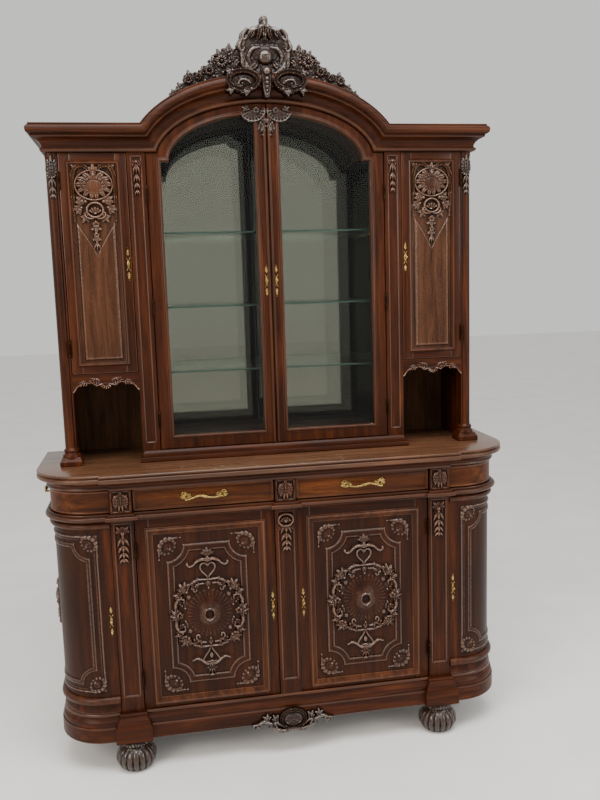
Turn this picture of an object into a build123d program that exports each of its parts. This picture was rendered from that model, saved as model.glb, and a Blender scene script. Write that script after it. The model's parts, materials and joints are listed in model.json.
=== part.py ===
from build123d import *
import math
import os

# A two-part carved oak china cabinet in the rococo revival taste.
# Base: curved end doors, two panelled doors, four drawers, bun feet.
# Upper part: arched glazed doors between two towers that stand over open niches.
# Millimetres, +Z up, front towards -Y, origin on the floor at the middle of the footprint.

# ---------------------------------------------------------------- overall sizes
total_depth = 500            # front edge of the base top to the back
base_width = 1600            # across the two curved ends of the base
corner_radius = 145          # rounded front corners of the base
lip_overhang = 66            # front edge of the base top in front of the doors

# heights of the base, from the floor up
foot_height = 116
plinth_height = 102
base_door_height = 690
waist_height = 28
frieze_height = 82
cove_height = 32
top_thickness = 28

# heights of the upper part, from the base top up
upper_plinth_height = 37
upper_wall_height = 1025
niche_height = 268
apron_height = 50
cornice_height = 90
arch_rise = 194              # arch crown above its spring line
arch_drop = 30               # spring line below the cornice
crest_rise = 186             # top of the carved crest above the arch crown

# widths
end_bay = 238                # side pilaster centre to the side of the base
pilaster_width = 77
plinth_block_width = 126
waist_block_width = 109
frieze_block_width = 73
top_break_past = 66          # forward break of the top, past a side pilaster's middle
upper_setback = 52           # side of the upper part inside the side of the base
tower_width = 268
upper_pilaster_width = 61
post_width = 41
door_shoulder = 34           # flat top of a glazed door beside its arch

# thicknesses and depths
board = 20
wall = 24                    # doors and curved ends
thin_board = 12
pilaster_depth = 40
pilaster_proud = 6           # pilaster face in front of the base doors
plinth_board = 30
glass = 4
shelf_glass = 6
upper_set_back = 205         # upper front behind the front edge of the base top
upper_door = 26
upper_pilaster_depth = 30

# how far the mouldings stand out from the base outline
plinth_out = 20
waist_out = 28
frieze_out = 9
cove_out = 18
top_out = 48
torus_out = 16
block_out = 16               # blocks in front of the mouldings that they interrupt
top_break = 18
cornice_steps = ((0, 12), (30, 35), (60, 50))    # height up the cornice, projection

# clearances
gap = 2                      # round a door or a drawer front
free_gap = 2.5               # at a door's lock edge
hinge_gap = 3                # at a hinged edge, room for the two leaves
glass_door_gap = 1.5         # each glazed door to the middle line
slide_gap = 0.5              # under a drawer

# ---------------------------------------------------------------- levels and lines
half = base_width / 2
back_y = total_depth / 2
top_front_y = -total_depth / 2
face_y = top_front_y + lip_overhang
corner_x = half - corner_radius
corner_y = face_y + corner_radius
pilaster_y = face_y - pilaster_proud
pilaster_back_y = pilaster_y + pilaster_depth
panel_back_y = back_y - thin_board

plinth_z = foot_height + plinth_height
door_top_z = plinth_z + base_door_height
waist_z = door_top_z + waist_height
frieze_z = waist_z + frieze_height
cove_z = frieze_z + cove_height
top_z = cove_z + top_thickness
deck_z = door_top_z + 4      # underside of the drawer deck
deck_thickness = 18
floor_thickness = 18

side_pilaster_x = half - end_bay
partition_half = 11
pilasters_x = (-side_pilaster_x, 0, side_pilaster_x)

upper_half = half - upper_setback
upper_y = top_front_y + upper_set_back
tower_inner_x = upper_half - tower_width
glazed_half = tower_inner_x - upper_pilaster_width
post_inner_x = upper_half - post_width
post_y = upper_y + post_width / 2 + 1.5
post_back_y = post_y + 33
upper_pilaster_back_y = upper_y + upper_pilaster_depth
vitrine_x = tower_inner_x - board      # outer face of a vitrine wall

upper_plinth_z = top_z + upper_plinth_height
niche_z = top_z + niche_height
tower_z = niche_z + apron_height
cornice_z = upper_plinth_z + upper_wall_height
spring_z = cornice_z - arch_drop
arch_half = glazed_half - hinge_gap - door_shoulder + gap
crown_z = spring_z + arch_rise + cornice_height
crest_z = crown_z + crest_rise

# hinges
knuckle = 4
pin = 2
pin_fit = 0.05
leaf = 1.2
leaf_height = 60
base_hinges = (plinth_z + 110, door_top_z - 110)
end_hinges = (plinth_z + 100, (plinth_z + door_top_z) / 2, door_top_z - 100)
tower_hinges = (tower_z + 90, cornice_z - 90)
glass_hinges = (upper_plinth_z + 110, (upper_plinth_z + spring_z) / 2, spring_z - 110)
hinge_proud = knuckle + 0.2
side_hinge_x = half + hinge_proud
side_hinge_y = back_y - 35 - hinge_gap / 2
rear_post_y = side_hinge_y + hinge_gap / 2
base_hinge_x = side_pilaster_x - pilaster_width / 2 - hinge_gap / 2
base_hinge_y = pilaster_y - hinge_proud
tower_hinge_x = post_inner_x - hinge_gap / 2
glass_hinge_x = glazed_half - hinge_gap / 2
upper_hinge_y = upper_y - hinge_proud


# ---------------------------------------------------------------- shaping helpers
def slab(x0, x1, y0, y1, z0, z1):
    """Board between two opposite corners."""
    middle = Pos((x0 + x1) / 2, (y0 + y1) / 2, (z0 + z1) / 2)
    return middle * Box(x1 - x0, y1 - y0, z1 - z0)


def loop(points):
    """Closed outline through points, as edges."""
    return list(Polyline(*points, close=True).edges())


def prism(edges, z0, z1):
    """Solid with a closed plan outline (X, Y) between two heights."""
    face = Pos(0, 0, z0) * Face(Wire(edges))
    return extrude(face, amount=z1 - z0, dir=(0, 0, 1))


def front_plate(edges, y0, y1):
    """Solid with a closed front-view outline (X, Z) between two depths."""
    face = Plane.XZ.offset(-y0) * Face(Wire(edges))
    return extrude(face, amount=y1 - y0, dir=(0, 1, 0))


def rod(x, y, z0, z1, radius):
    """Upright round bar."""
    return Pos(x, y, (z0 + z1) / 2) * Cylinder(radius, z1 - z0)


def turned(x, y, profile):
    """Solid turned about an upright axis from a half profile (radius, height)."""
    face = Plane.XZ * Face(Wire(profile))
    return Pos(x, y, 0) * revolve(face, axis=Axis.Z)


def other_side(shape):
    """The same shape on the left of the cabinet."""
    return mirror(shape, about=Plane.YZ)


def pair(shapes):
    """Right-hand shapes with their left-hand twins."""
    return [*shapes, *[other_side(shape) for shape in shapes]]


def fused(shapes):
    """One solid from overlapping or touching shapes."""
    whole = shapes[0]
    for shape in shapes[1:]:
        whole = whole + shape
    return whole


def end_band(outer, inner, start_x, stop_y, z0, z1):
    """Curved right-hand end piece between two offsets of the base outline."""
    edges = [
        Line((start_x, face_y - inner), (start_x, face_y - outer)),
        Line((start_x, face_y - outer), (corner_x, face_y - outer)),
        CenterArc((corner_x, corner_y), corner_radius + outer, -90, 90),
        Line((half + outer, corner_y), (half + outer, stop_y)),
        Line((half + outer, stop_y), (half + inner, stop_y)),
        Line((half + inner, stop_y), (half + inner, corner_y)),
        CenterArc((corner_x, corner_y), corner_radius + inner, 0, -90),
        Line((corner_x, face_y - inner), (start_x, face_y - inner)),
    ]
    return prism(edges, z0, z1)


def plan_board(offset, rear_y, z0, z1):
    """Whole board with the outline of the base, made larger by an offset."""
    x = half + offset
    y = face_y - offset
    radius = corner_radius + offset
    edges = [
        Line((-corner_x, y), (corner_x, y)),
        CenterArc((corner_x, corner_y), radius, -90, 90),
        Line((x, corner_y), (x, rear_y)),
        Line((x, rear_y), (-x, rear_y)),
        Line((-x, rear_y), (-x, corner_y)),
        CenterArc((-corner_x, corner_y), radius, 180, 90),
    ]
    return prism(edges, z0, z1)


def frame_ring(x0, x1, z0, z1, width, y0, y1):
    """Four strips round a rectangle in the front view: two uprights, two rails between."""
    return [
        slab(x0, x0 + width, y0, y1, z0, z1),
        slab(x1 - width, x1, y0, y1, z0, z1),
        slab(x0 + width, x1 - width, y0, y1, z0, z0 + width),
        slab(x0 + width, x1 - width, y0, y1, z1 - width, z1),
    ]


def oval_plate(x, z, half_width, half_height, y0, y1):
    """Oval plate in the front view, the block of a carved ornament."""
    face = Plane.XZ.offset(-y0) * (Pos(x, z) * Ellipse(half_width, half_height))
    return extrude(face, amount=y1 - y0, dir=(0, 1, 0))


def ellipse_x(a, b, height):
    """Half width of an ellipse at a height above its centre."""
    return a * math.sqrt(1 - (height / b) ** 2)


def arch_ring(grow_in, grow_out, z0, y0, y1):
    """Arch between two ellipses that share the spring line, cut off below z0."""
    outer = Ellipse(arch_half + grow_out, arch_rise + grow_out)
    inner = Ellipse(arch_half + grow_in, arch_rise + grow_in)
    keep = Pos(0, z0 - spring_z + total_depth) * Rectangle(4 * half, 2 * total_depth)
    ring = (outer - inner) & keep
    face = Plane.XZ.offset(-y0) * (Pos(0, spring_z) * ring)
    return extrude(face, amount=y1 - y0, dir=(0, 1, 0))


def arched_outline(x0, x1, z0, z1, a, b):
    """Half outline of an arched door: upright edges, a shoulder at z1 and part of an
    ellipse about the spring line over it."""
    shoulder = ellipse_x(a, b, z1 - spring_z)
    top_z = spring_z + b * math.sqrt(1 - (x0 / a) ** 2)
    start = math.degrees(math.atan2((z1 - spring_z) / b, shoulder / a))
    stop = math.degrees(math.atan2((top_z - spring_z) / b, x0 / a))
    return [
        Line((x0, z0), (x1, z0)),
        Line((x1, z0), (x1, z1)),
        Line((x1, z1), (shoulder, z1)),
        EllipticalCenterArc((0, spring_z), a, b, start, arc_size=stop - start),
        Line((x0, top_z), (x0, z0)),
    ]


# ---------------------------------------------------------------- hinges
def fixed_hinge(x, y, z, leaf_side, leaf_from, leaf_to, along_x=False):
    """Fixed half of a lift-off hinge: lower knuckle with its pin, and a leaf in the
    joint against the carcass."""
    low, high = z - leaf_height / 2, z + leaf_height / 2
    near, far = sorted((leaf_side * (hinge_gap / 2), leaf_side * (hinge_gap / 2 - leaf)))
    barrel = rod(x, y, low, z - 0.15, knuckle) + rod(x, y, z - 0.15, high - 4, pin)
    if along_x:
        plate = slab(leaf_from, leaf_to, y + near, y + far, low, high)
    else:
        plate = slab(x + near, x + far, leaf_from, leaf_to, low, high)
    return fused([barrel, plate - rod(x, y, z - 0.15, high, knuckle + 0.3)])


def moving_hinge(x, y, z, leaf_side, leaf_from, leaf_to, along_x=False):
    """Door half of a lift-off hinge: upper knuckle bored for the pin, and its leaf."""
    low, high = z - leaf_height / 2, z + leaf_height / 2
    near, far = sorted((leaf_side * (hinge_gap / 2), leaf_side * (hinge_gap / 2 - leaf)))
    barrel = rod(x, y, z + 0.15, high, knuckle) - rod(x, y, z, high - 3, pin + pin_fit)
    if along_x:
        plate = slab(leaf_from, leaf_to, y + near, y + far, low, high)
    else:
        plate = slab(x + near, x + far, leaf_from, leaf_to, low, high)
    clear = rod(x, y, low, z + 0.15, knuckle + 0.3) + rod(x, y, z, high - 3, pin + pin_fit)
    return fused([barrel, plate]) - clear


# ---------------------------------------------------------------- base: standing parts
def bun_foot(x, y, radius=72):
    """Turned bun with a narrow neck."""
    belly = foot_height * 0.72
    neck = radius * 0.64
    profile = [
        Line((0, 0), (neck, 0)),
        ThreePointArc((neck, 0), (radius, belly / 2), (neck, belly)),
        Line((neck, belly), (neck - 6, belly + 10)),
        Line((neck - 6, belly + 10), (neck, foot_height)),
        Line((neck, foot_height), (0, foot_height)),
        Line((0, foot_height), (0, 0)),
    ]
    return turned(x, y, profile)


def front_feet():
    return [bun_foot(x, pilaster_y + 30) for x in (-side_pilaster_x, side_pilaster_x)]


def rear_feet():
    size = 70
    outer = half + plinth_out - 8
    foot = slab(outer - size, outer, back_y - size, back_y, 0, foot_height)
    return pair([foot])


block_half = plinth_block_width / 2
plinth_block_x = side_pilaster_x - block_half
plinth_inner_y = face_y - plinth_out + plinth_board


def plinth_frame():
    """Plinth boards with a stepped top moulding; the blocks fill the gaps."""
    steps = ((0, 0.57, plinth_out), (0.57, 0.8, plinth_out - 6), (0.8, 1, 6))
    front, end = [], []
    for bottom, top, out in steps:
        low = foot_height + plinth_height * bottom
        high = foot_height + plinth_height * top
        front.append(
            slab(-plinth_block_x, plinth_block_x, face_y - out, plinth_inner_y, low, high))
        end.append(
            end_band(out, plinth_out - plinth_board, side_pilaster_x + block_half,
                     back_y, low, high))
    rear_x = half + plinth_out - plinth_board
    rear = slab(-rear_x, rear_x, back_y - plinth_board, back_y, foot_height, plinth_z)
    return [fused(front), *pair([fused(end)]), rear]


def plinth_blocks():
    """Blocks under the side pilasters, with a stepped cap."""
    front = face_y - plinth_out - block_out - 5
    caps = ((0, 0.6, 0, front), (0.6, 0.82, 7, front + 7), (0.82, 1, 17, front + 19))
    blocks = []
    for x in (-side_pilaster_x, side_pilaster_x):
        steps = [
            slab(x - block_half + inset, x + block_half - inset, y, plinth_inner_y,
                 foot_height + plinth_height * low, foot_height + plinth_height * high)
            for low, high, inset, y in caps
        ]
        blocks.append(fused(steps))
    return blocks


def apron_carving():
    """Shell ornament that hangs below the middle of the plinth."""
    front = face_y - plinth_out
    half_span = 150
    low = foot_height - 27
    points = [
        (-half_span, foot_height + 8), (-100, foot_height - 12), (-56, low),
        (56, low), (100, foot_height - 12), (half_span, foot_height + 8),
        (half_span - 14, foot_height + 24), (90, foot_height + 20), (60, foot_height + 66),
        (-60, foot_height + 66), (-90, foot_height + 20), (14 - half_span, foot_height + 24),
    ]
    return [front_plate(loop(points), front - 24, front)]


def base_floor():
    return [plan_board(plinth_out - plinth_board, back_y - plinth_board,
                       plinth_z - floor_thickness, plinth_z)]


def base_back_panel():
    x = half - wall
    return [slab(-x, x, panel_back_y, back_y, plinth_z, cove_z)]


def base_partitions():
    """Uprights behind the pilasters: tall ones below the drawer deck, short ones above."""
    parts = []
    for x in pilasters_x:
        upper = slab(x - partition_half, x + partition_half, pilaster_back_y, panel_back_y,
                     deck_z + deck_thickness, cove_z)
        parts.append(upper)
        if x:
            parts.append(
                slab(x - partition_half, x + partition_half, pilaster_back_y, panel_back_y,
                     plinth_z, deck_z))
    return parts


def pilaster(x, drop_height):
    """Post with a sunk panel and a carved drop in it."""
    post = slab(x - pilaster_width / 2, x + pilaster_width / 2, pilaster_y,
                pilaster_back_y, plinth_z, door_top_z)
    margin, sunk = 13, 4
    reach = pilaster_width / 2 - margin
    panel = slab(x - reach, x + reach, pilaster_y, pilaster_y + sunk, plinth_z + 60,
                 door_top_z - 14)
    top = door_top_z - 22
    drop = [(x - 24, top), (x + 24, top), (x + 22, top - 60), (x, top - drop_height),
            (x - 22, top - 60)]
    return [post - panel, front_plate(loop(drop), pilaster_y - 10, pilaster_y + sunk)]


def side_pilasters():
    return pilaster(-side_pilaster_x, 150) + pilaster(side_pilaster_x, 150)


def centre_pilaster():
    return pilaster(0, 180)


def rear_side_posts():
    """Square posts at the back corners; the upper ones stand between the mouldings."""
    posts = [
        slab(half - wall, half, rear_post_y, back_y, plinth_z, door_top_z),
        slab(half - wall, half, rear_post_y, back_y, waist_z, frieze_z),
    ]
    return pair(posts)


def drawer_deck():
    """Board under the drawers, with a runner strip on each side of each drawer."""
    parts = [plan_board(-wall, panel_back_y, deck_z, deck_z + deck_thickness)]
    low, high = deck_z + deck_thickness, waist_z + gap
    for x in (frieze_block_width / 2 + 14, side_pilaster_x - frieze_block_width / 2 - 14):
        runner = slab(x - 9, x + 9, pilaster_back_y, panel_back_y - 10, low, high)
        parts += pair([runner])
    for y in (corner_y, rear_post_y - 30):
        start = side_pilaster_x + partition_half
        parts += pair([slab(start, corner_x + 70, y - 9, y + 9, low, high)])
    return parts


def frieze_blocks():
    """Blocks between the drawers, over the pilasters."""
    reach = frieze_block_width / 2
    front = face_y - frieze_out - 12
    return [slab(x - reach, x + reach, front, pilaster_back_y, waist_z, frieze_z)
            for x in pilasters_x]


def waist_moulding():
    """Ledge between doors and drawers, breaking forward over each pilaster."""
    reach = waist_block_width / 2
    end_x = side_pilaster_x + reach
    front = face_y - waist_out
    parts = [slab(-end_x, end_x, front, face_y + wall, door_top_z, waist_z)]
    parts += pair([end_band(waist_out, -wall, end_x, back_y, door_top_z, waist_z)])
    parts += [slab(x - reach, x + reach, front - block_out, front, door_top_z, waist_z)
              for x in pilasters_x]
    return parts


def shelf_cleat(x0, x1, z):
    """Batten that carries one end of a shelf."""
    return slab(x0, x1, pilaster_back_y + 30, panel_back_y - 20, z - 18, z)


base_shelf_z = (plinth_z + deck_z) / 2
end_shelf_inset = wall + 12


def base_shelves():
    """Middle shelf and the two rounded end shelves, on battens."""
    low, high = base_shelf_z - deck_thickness / 2, base_shelf_z + deck_thickness / 2
    inner = side_pilaster_x - partition_half
    outer = side_pilaster_x + partition_half
    middle = slab(-inner, inner, pilaster_back_y + 30, panel_back_y, low, high)
    inset = end_shelf_inset
    edges = [
        Line((outer, face_y + inset), (corner_x, face_y + inset)),
        CenterArc((corner_x, corner_y), corner_radius - inset, -90, 90),
        Line((half - inset, corner_y), (half - inset, panel_back_y)),
        Line((half - inset, panel_back_y), (outer, panel_back_y)),
        Line((outer, panel_back_y), (outer, face_y + inset)),
    ]
    end = prism(edges, low, high)
    cleats = [shelf_cleat(inner - board, inner, low), shelf_cleat(outer, outer + board, low)]
    return [middle, *pair([end, *cleats])]


def base_top():
    """Top board that breaks forward over the middle, on a stepped cove."""
    reach = side_pilaster_x + top_break_past
    lower, upper = frieze_z + cove_height / 2, cove_z
    cove = []
    for low, high, out in ((frieze_z, lower, cove_out), (lower, upper, cove_out + 16)):
        front = face_y - out - top_break
        cove.append(slab(-reach, reach, front, face_y + wall, low, high))
        cove += pair([end_band(out, -wall, reach, back_y, low, high)])
    top = plan_board(top_out, back_y, cove_z, top_z)
    edge_y = face_y - top_out
    step = slab(-reach, reach, top_front_y, edge_y, cove_z, top_z)
    return [fused([top, step]), fused([cove[0], cove[3]]), fused([cove[1], cove[4]]),
            fused([cove[2], cove[5]])]


# ---------------------------------------------------------------- base: doors
def lock_fittings(x, front, z, rear, plate_height=104):
    """Brass keyhole plate with its key knob, and a rim lock on the inside."""
    plate = slab(x - 8, x + 8, front - 2, front, z - plate_height / 2, z + plate_height / 2)
    knob = Plane.XZ.offset(2 - front) * (Pos(x, z) * Circle(5))
    knob = extrude(knob, amount=12, dir=(0, -1, 0))
    case = slab(x - 8, x + 20, rear, rear + 10, z - 35, z + 35)
    return [plate, knob, case]


base_door_x0 = pilaster_width / 2 + free_gap
base_door_x1 = side_pilaster_x - pilaster_width / 2 - hinge_gap
base_door_z0 = plinth_z + gap
base_door_z1 = door_top_z - gap
stile = 45
low_rail = 23
groove = 4


def base_door_frame():
    """Stiles and rails, with the bold moulding that covers their joint to the panel."""
    x0, x1, z0, z1 = base_door_x0, base_door_x1, base_door_z0, base_door_z1
    front, rear = face_y, face_y + wall
    parts = [
        slab(x0, x0 + stile, front, rear, z0, z1),
        slab(x1 - stile, x1, front, rear, z0, z1),
        slab(x0 + stile, x1 - stile, front, rear, z0, z0 + low_rail),
        slab(x0 + stile, x1 - stile, front, rear, z1 - stile, z1),
    ]
    margin, moulding = 32, 26
    parts += frame_ring(x0 + margin, x1 - margin, z0 + 10, z1 - margin, moulding,
                        front - 10, front)
    return parts


def base_door_panel():
    """Panel with a raised band that has hollow corners, and a carved cartouche."""
    x0, x1 = base_door_x0 + stile, base_door_x1 - stile
    z0, z1 = base_door_z0 + low_rail, base_door_z1 - stile
    front = face_y + groove
    plate = slab(x0, x1, front, front + 14, z0, z1)
    inset, hollow, band = 55, 58, 27
    left, right, low, high = x0 + inset, x1 - inset, z0 + inset, z1 - inset
    outline = Pos((left + right) / 2, (low + high) / 2) * Rectangle(right - left, high - low)
    inner = offset(outline, -band)
    corners = [(x, z) for x in (left, right) for z in (low, high)]
    for x, z in corners:
        outline -= Pos(x, z) * Circle(hollow)
        inner -= Pos(x, z) * Circle(hollow + band)
    face = Plane.XZ.offset(-(front - 5)) * (outline - inner)
    ring = extrude(face, amount=5, dir=(0, 1, 0))
    x, z = (x0 + x1) / 2, (z0 + z1) / 2
    boss = oval_plate(x, z, 105, 118, front - 26, front)
    plume = slab(x - 55, x + 55, front - 12, front, z - 226, z + 226) - oval_plate(
        x, z, 105, 118, front - 26, front)
    return [plate, ring, boss, plume]


def hinge_set(half_hinge, x, y, heights, side, reach_from, reach_to, along_x=False):
    return [half_hinge(x, y, z, side, reach_from, reach_to, along_x) for z in heights]


def base_door_fittings():
    parts = lock_fittings(base_door_x0 + 14, face_y, (plinth_z + door_top_z) / 2 - 8,
                          face_y + wall)
    return parts + hinge_set(moving_hinge, base_hinge_x, base_hinge_y, base_hinges, -1,
                             base_hinge_y, face_y + wall - 2)


end_door_x0 = side_pilaster_x + pilaster_width / 2 + gap
end_door_y1 = side_hinge_y - hinge_gap / 2


def end_door():
    """Curved door that wraps the corner, with half-round bands and a carved side panel."""
    z0, z1 = base_door_z0, base_door_z1
    leaf_board = end_band(0, -wall, end_door_x0, end_door_y1, z0, z1)
    bands = [end_band(torus_out, 0, end_door_x0, end_door_y1, low, high)
             for low, high in ((z1 - wall, z1), (z0 + 30, z0 + 60))]
    y, z = corner_y + 118, (z0 + z1) / 2 + 10
    face = Plane.YZ.offset(half) * (Pos(y, z) * Ellipse(75, 110))
    boss = extrude(face, amount=22, dir=(1, 0, 0))
    return [leaf_board, *bands, boss]


def end_door_fittings():
    parts = lock_fittings(end_door_x0 + 15, face_y, (plinth_z + door_top_z) / 2 - 8,
                          face_y + wall)
    return parts + hinge_set(moving_hinge, side_hinge_x, side_hinge_y, end_hinges, -1,
                             half - wall + 2, side_hinge_x, True)


# ---------------------------------------------------------------- base: drawers
drawer_z0 = waist_z + gap
drawer_z1 = frieze_z - gap
drawer_y = face_y - frieze_out
drawer_rear_y = panel_back_y - 20
drawer_board = 12
drawer_bottom = 6
front_board = 20
drawer_x0 = frieze_block_width / 2 + free_gap
drawer_x1 = side_pilaster_x - frieze_block_width / 2 - free_gap
side_fit = 5
box_z0 = drawer_z0 + slide_gap


def base_drawer():
    """Drawer front with its box of four thin boards."""
    x0, x1 = drawer_x0 + side_fit, drawer_x1 - side_fit
    y0 = drawer_y + front_board
    z1 = drawer_z1 - 10
    sides_z = box_z0 + drawer_bottom
    return [
        slab(drawer_x0, drawer_x1, drawer_y, y0, drawer_z0, drawer_z1),
        slab(x0, x1, y0, drawer_rear_y, box_z0, sides_z),
        slab(x0, x0 + drawer_board, y0, drawer_rear_y, sides_z, z1),
        slab(x1 - drawer_board, x1, y0, drawer_rear_y, sides_z, z1),
        slab(x0 + drawer_board, x1 - drawer_board, drawer_rear_y - drawer_board,
             drawer_rear_y, sides_z, z1),
    ]


def bar_pull(length):
    """Horizontal brass pull: two feet with leaf plates and a bar between them."""
    z = (drawer_z0 + drawer_z1) / 2
    parts = []
    for end in (-1, 1):
        x = end * (length / 2 - 18)
        plate = slab(x - 18, x + 18, -2, 0, z - 16, z + 16)
        foot = slab(x - 4, x + 4, -24, -2, z - 4, z + 4)
        parts.append(plate + foot)
    parts.append(slab(18 - length / 2, length / 2 - 18, -30, -24, z - 4, z + 4))
    return fused(parts)


pull_length = 165


def base_drawer_pull():
    return [Pos((drawer_x0 + drawer_x1) / 2, drawer_y, 0) * bar_pull(pull_length)]


end_drawer_x0 = side_pilaster_x + frieze_block_width / 2 + free_gap
end_drawer_y1 = rear_post_y - hinge_gap


def end_drawer():
    """Drawer that slides out sideways; its front is the curved end of the frieze."""
    shell = end_band(frieze_out, frieze_out - front_board, end_drawer_x0, end_drawer_y1,
                     drawer_z0, drawer_z1)
    inner_x = half + frieze_out - front_board
    y1 = end_drawer_y1 - 8
    z1 = drawer_z1 - 10
    sides_z = box_z0 + drawer_bottom
    x0 = end_drawer_x0 + 3
    return [
        shell,
        slab(x0, inner_x, corner_y, y1, box_z0, sides_z),
        slab(x0, x0 + drawer_board, corner_y + drawer_board, y1 - drawer_board, sides_z, z1),
        slab(x0, inner_x, corner_y, corner_y + drawer_board, sides_z, z1),
        slab(x0, inner_x, y1 - drawer_board, y1, sides_z, z1),
    ]


def end_drawer_pull():
    side = Location((half + frieze_out, corner_y + 110, 0), (0, 0, 90))
    return [side * bar_pull(120)]


# ---------------------------------------------------------------- upper part: carcass
def upper_plinth():
    """Low moulded plinth under the glazed part, with its floor and side boards."""
    front = [
        slab(-tower_inner_x - 10, tower_inner_x + 10, upper_y - 30, upper_pilaster_back_y,
             top_z, top_z + 20),
        slab(-tower_inner_x, tower_inner_x, upper_y - 14, upper_pilaster_back_y,
             top_z + 20, upper_plinth_z),
    ]
    floor_z = upper_plinth_z - deck_thickness
    floor = slab(-vitrine_x, vitrine_x, upper_pilaster_back_y, panel_back_y, floor_z,
                 upper_plinth_z)
    side = slab(vitrine_x - board, vitrine_x, upper_pilaster_back_y, panel_back_y, top_z,
                floor_z)
    return [fused(front), floor, *pair([side])]


def vitrine_walls():
    return pair([slab(vitrine_x - board, vitrine_x, upper_pilaster_back_y, panel_back_y,
                      upper_plinth_z, cornice_z)])


def tower_outer_walls():
    return pair([slab(upper_half - board, upper_half, post_back_y, panel_back_y, top_z,
                      cornice_z)])


def upper_back_panel():
    """Thin back that follows the arch over the glazed part."""
    flat = slab(-upper_half, upper_half, panel_back_y, back_y, top_z, cornice_z)
    shell = board - 2
    a, b = arch_half + shell, arch_rise + shell
    keep = Pos(0, total_depth + cornice_z - spring_z) * Rectangle(4 * half, 2 * total_depth)
    arch = Plane.XZ.offset(-panel_back_y) * (Pos(0, spring_z) * (Ellipse(a, b) & keep))
    return [fused([flat, extrude(arch, amount=thin_board, dir=(0, 1, 0))])]


def upper_roof():
    """Flat boards over the towers and the barrel roof behind the arch."""
    inner = ellipse_x(arch_half, arch_rise, arch_drop)
    flat = slab(inner, upper_half - board, upper_pilaster_back_y, panel_back_y, cornice_z,
                cornice_z + deck_thickness)
    barrel = arch_ring(0, deck_thickness, cornice_z + deck_thickness,
                       upper_pilaster_back_y, panel_back_y)
    return [*pair([flat]), barrel]


def tower_floors():
    """Board between tower cupboard and niche, notched round pilaster and post."""
    rail_y = upper_y + board
    edges = loop([
        (tower_inner_x, rail_y), (post_inner_x, rail_y), (post_inner_x, post_back_y),
        (upper_half - board, post_back_y), (upper_half - board, panel_back_y),
        (vitrine_x, panel_back_y), (vitrine_x, upper_pilaster_back_y),
        (tower_inner_x, upper_pilaster_back_y),
    ])
    return pair([prism(edges, tower_z - 22, tower_z)])


def niche_aprons():
    """Shaped rail over each niche, with rounded corners and a small pendant."""
    x0, x1 = tower_inner_x, post_inner_x
    middle = (x0 + x1) / 2
    leg, radius, dip = 6, 30, 26
    low, high = niche_z - 14, niche_z + 16
    edges = [
        Line((x0, tower_z), (x0, low)),
        Line((x0, low), (x0 + leg, low)),
        CenterArc((x0 + leg + radius, low), radius, 180, -90),
        Line((x0 + leg + radius, high), (middle - dip, high)),
        Line((middle - dip, high), (middle, niche_z)),
        Line((middle, niche_z), (middle + dip, high)),
        Line((middle + dip, high), (x1 - leg - radius, high)),
        CenterArc((x1 - leg - radius, low), radius, 90, -90),
        Line((x1 - leg, low), (x1, low)),
        Line((x1, low), (x1, tower_z)),
        Line((x1, tower_z), (x0, tower_z)),
    ]
    return pair([front_plate(edges, upper_y, upper_y + board)])


def tower_shelves():
    """One shelf in each tower cupboard, on battens."""
    z = (tower_z + cornice_z) / 2
    x0, x1 = vitrine_x, upper_half - board
    y0, y1 = post_back_y + 10, panel_back_y
    parts = [slab(x0, x1, y0, y1, z, z + 18)]
    parts += [slab(a, a + 15, y0 + 10, y1 - 10, z - 18, z) for a in (x0, x1 - 15)]
    return pair(parts)


def upper_pilasters():
    """Stiles beside the glazed doors, each with a small carved drop."""
    stile_post = slab(glazed_half, tower_inner_x, upper_y, upper_pilaster_back_y,
                      upper_plinth_z, cornice_z)
    x = (glazed_half + tower_inner_x) / 2
    top = cornice_z - 20
    drop = [(x - 17, top), (x + 17, top), (x + 14, top - 60), (x, top - 130),
            (x - 14, top - 60)]
    return pair([stile_post, front_plate(loop(drop), upper_y - 10, upper_y)])


def corner_posts():
    """Square post with an engaged round column, on a stepped block."""
    x = upper_half - post_width / 2 - 0.5
    radius = post_width / 2 - 0.5
    back = slab(post_inner_x, upper_half, post_y, post_back_y, top_z, cornice_z)
    column = rod(x, post_y, top_z, cornice_z, radius)
    foot = slab(x - 37, x + 38, post_y - 37, post_back_y, top_z, top_z + 30)
    rings = [rod(x, post_y, top_z + 30, top_z + 44, radius + 10),
             rod(x, post_y, top_z + 44, top_z + 57, radius + 4)]
    keep = slab(x - 60, upper_half, post_y - 60, post_back_y, top_z, cornice_z)
    capital = rod(x, post_y, cornice_z - 26, cornice_z, radius + 2) & keep
    return pair([fused([back, column, foot, *[ring & keep for ring in rings], capital])])


def cornice():
    """Stepped cornice that runs over the towers and up over the arch, with returns."""
    back = upper_pilaster_back_y
    heights = [step[0] for step in cornice_steps] + [cornice_height]
    front, returns = [], []
    for index, (low, out) in enumerate(cornice_steps):
        high = heights[index + 1]
        y = upper_y - out
        start = ellipse_x(arch_half + low, arch_rise + low, arch_drop + low)
        front.append(arch_ring(low, high, cornice_z + low, y, back))
        front += pair([slab(start, upper_half + out, y, back, cornice_z + low,
                            cornice_z + high)])
        returns.append(slab(upper_half - board, upper_half + out, back, back_y,
                            cornice_z + low, cornice_z + high))
    return [fused(front), *pair([fused(returns)])]


crest_half = 330
crest_shape = ((1, 22), (0.86, 64), (0.7, 78), (0.58, 108), (0.45, 112), (0.36, 96),
               (0.28, 136), (0.2, 150), (0.1, 164), (0.04, crest_rise))


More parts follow.
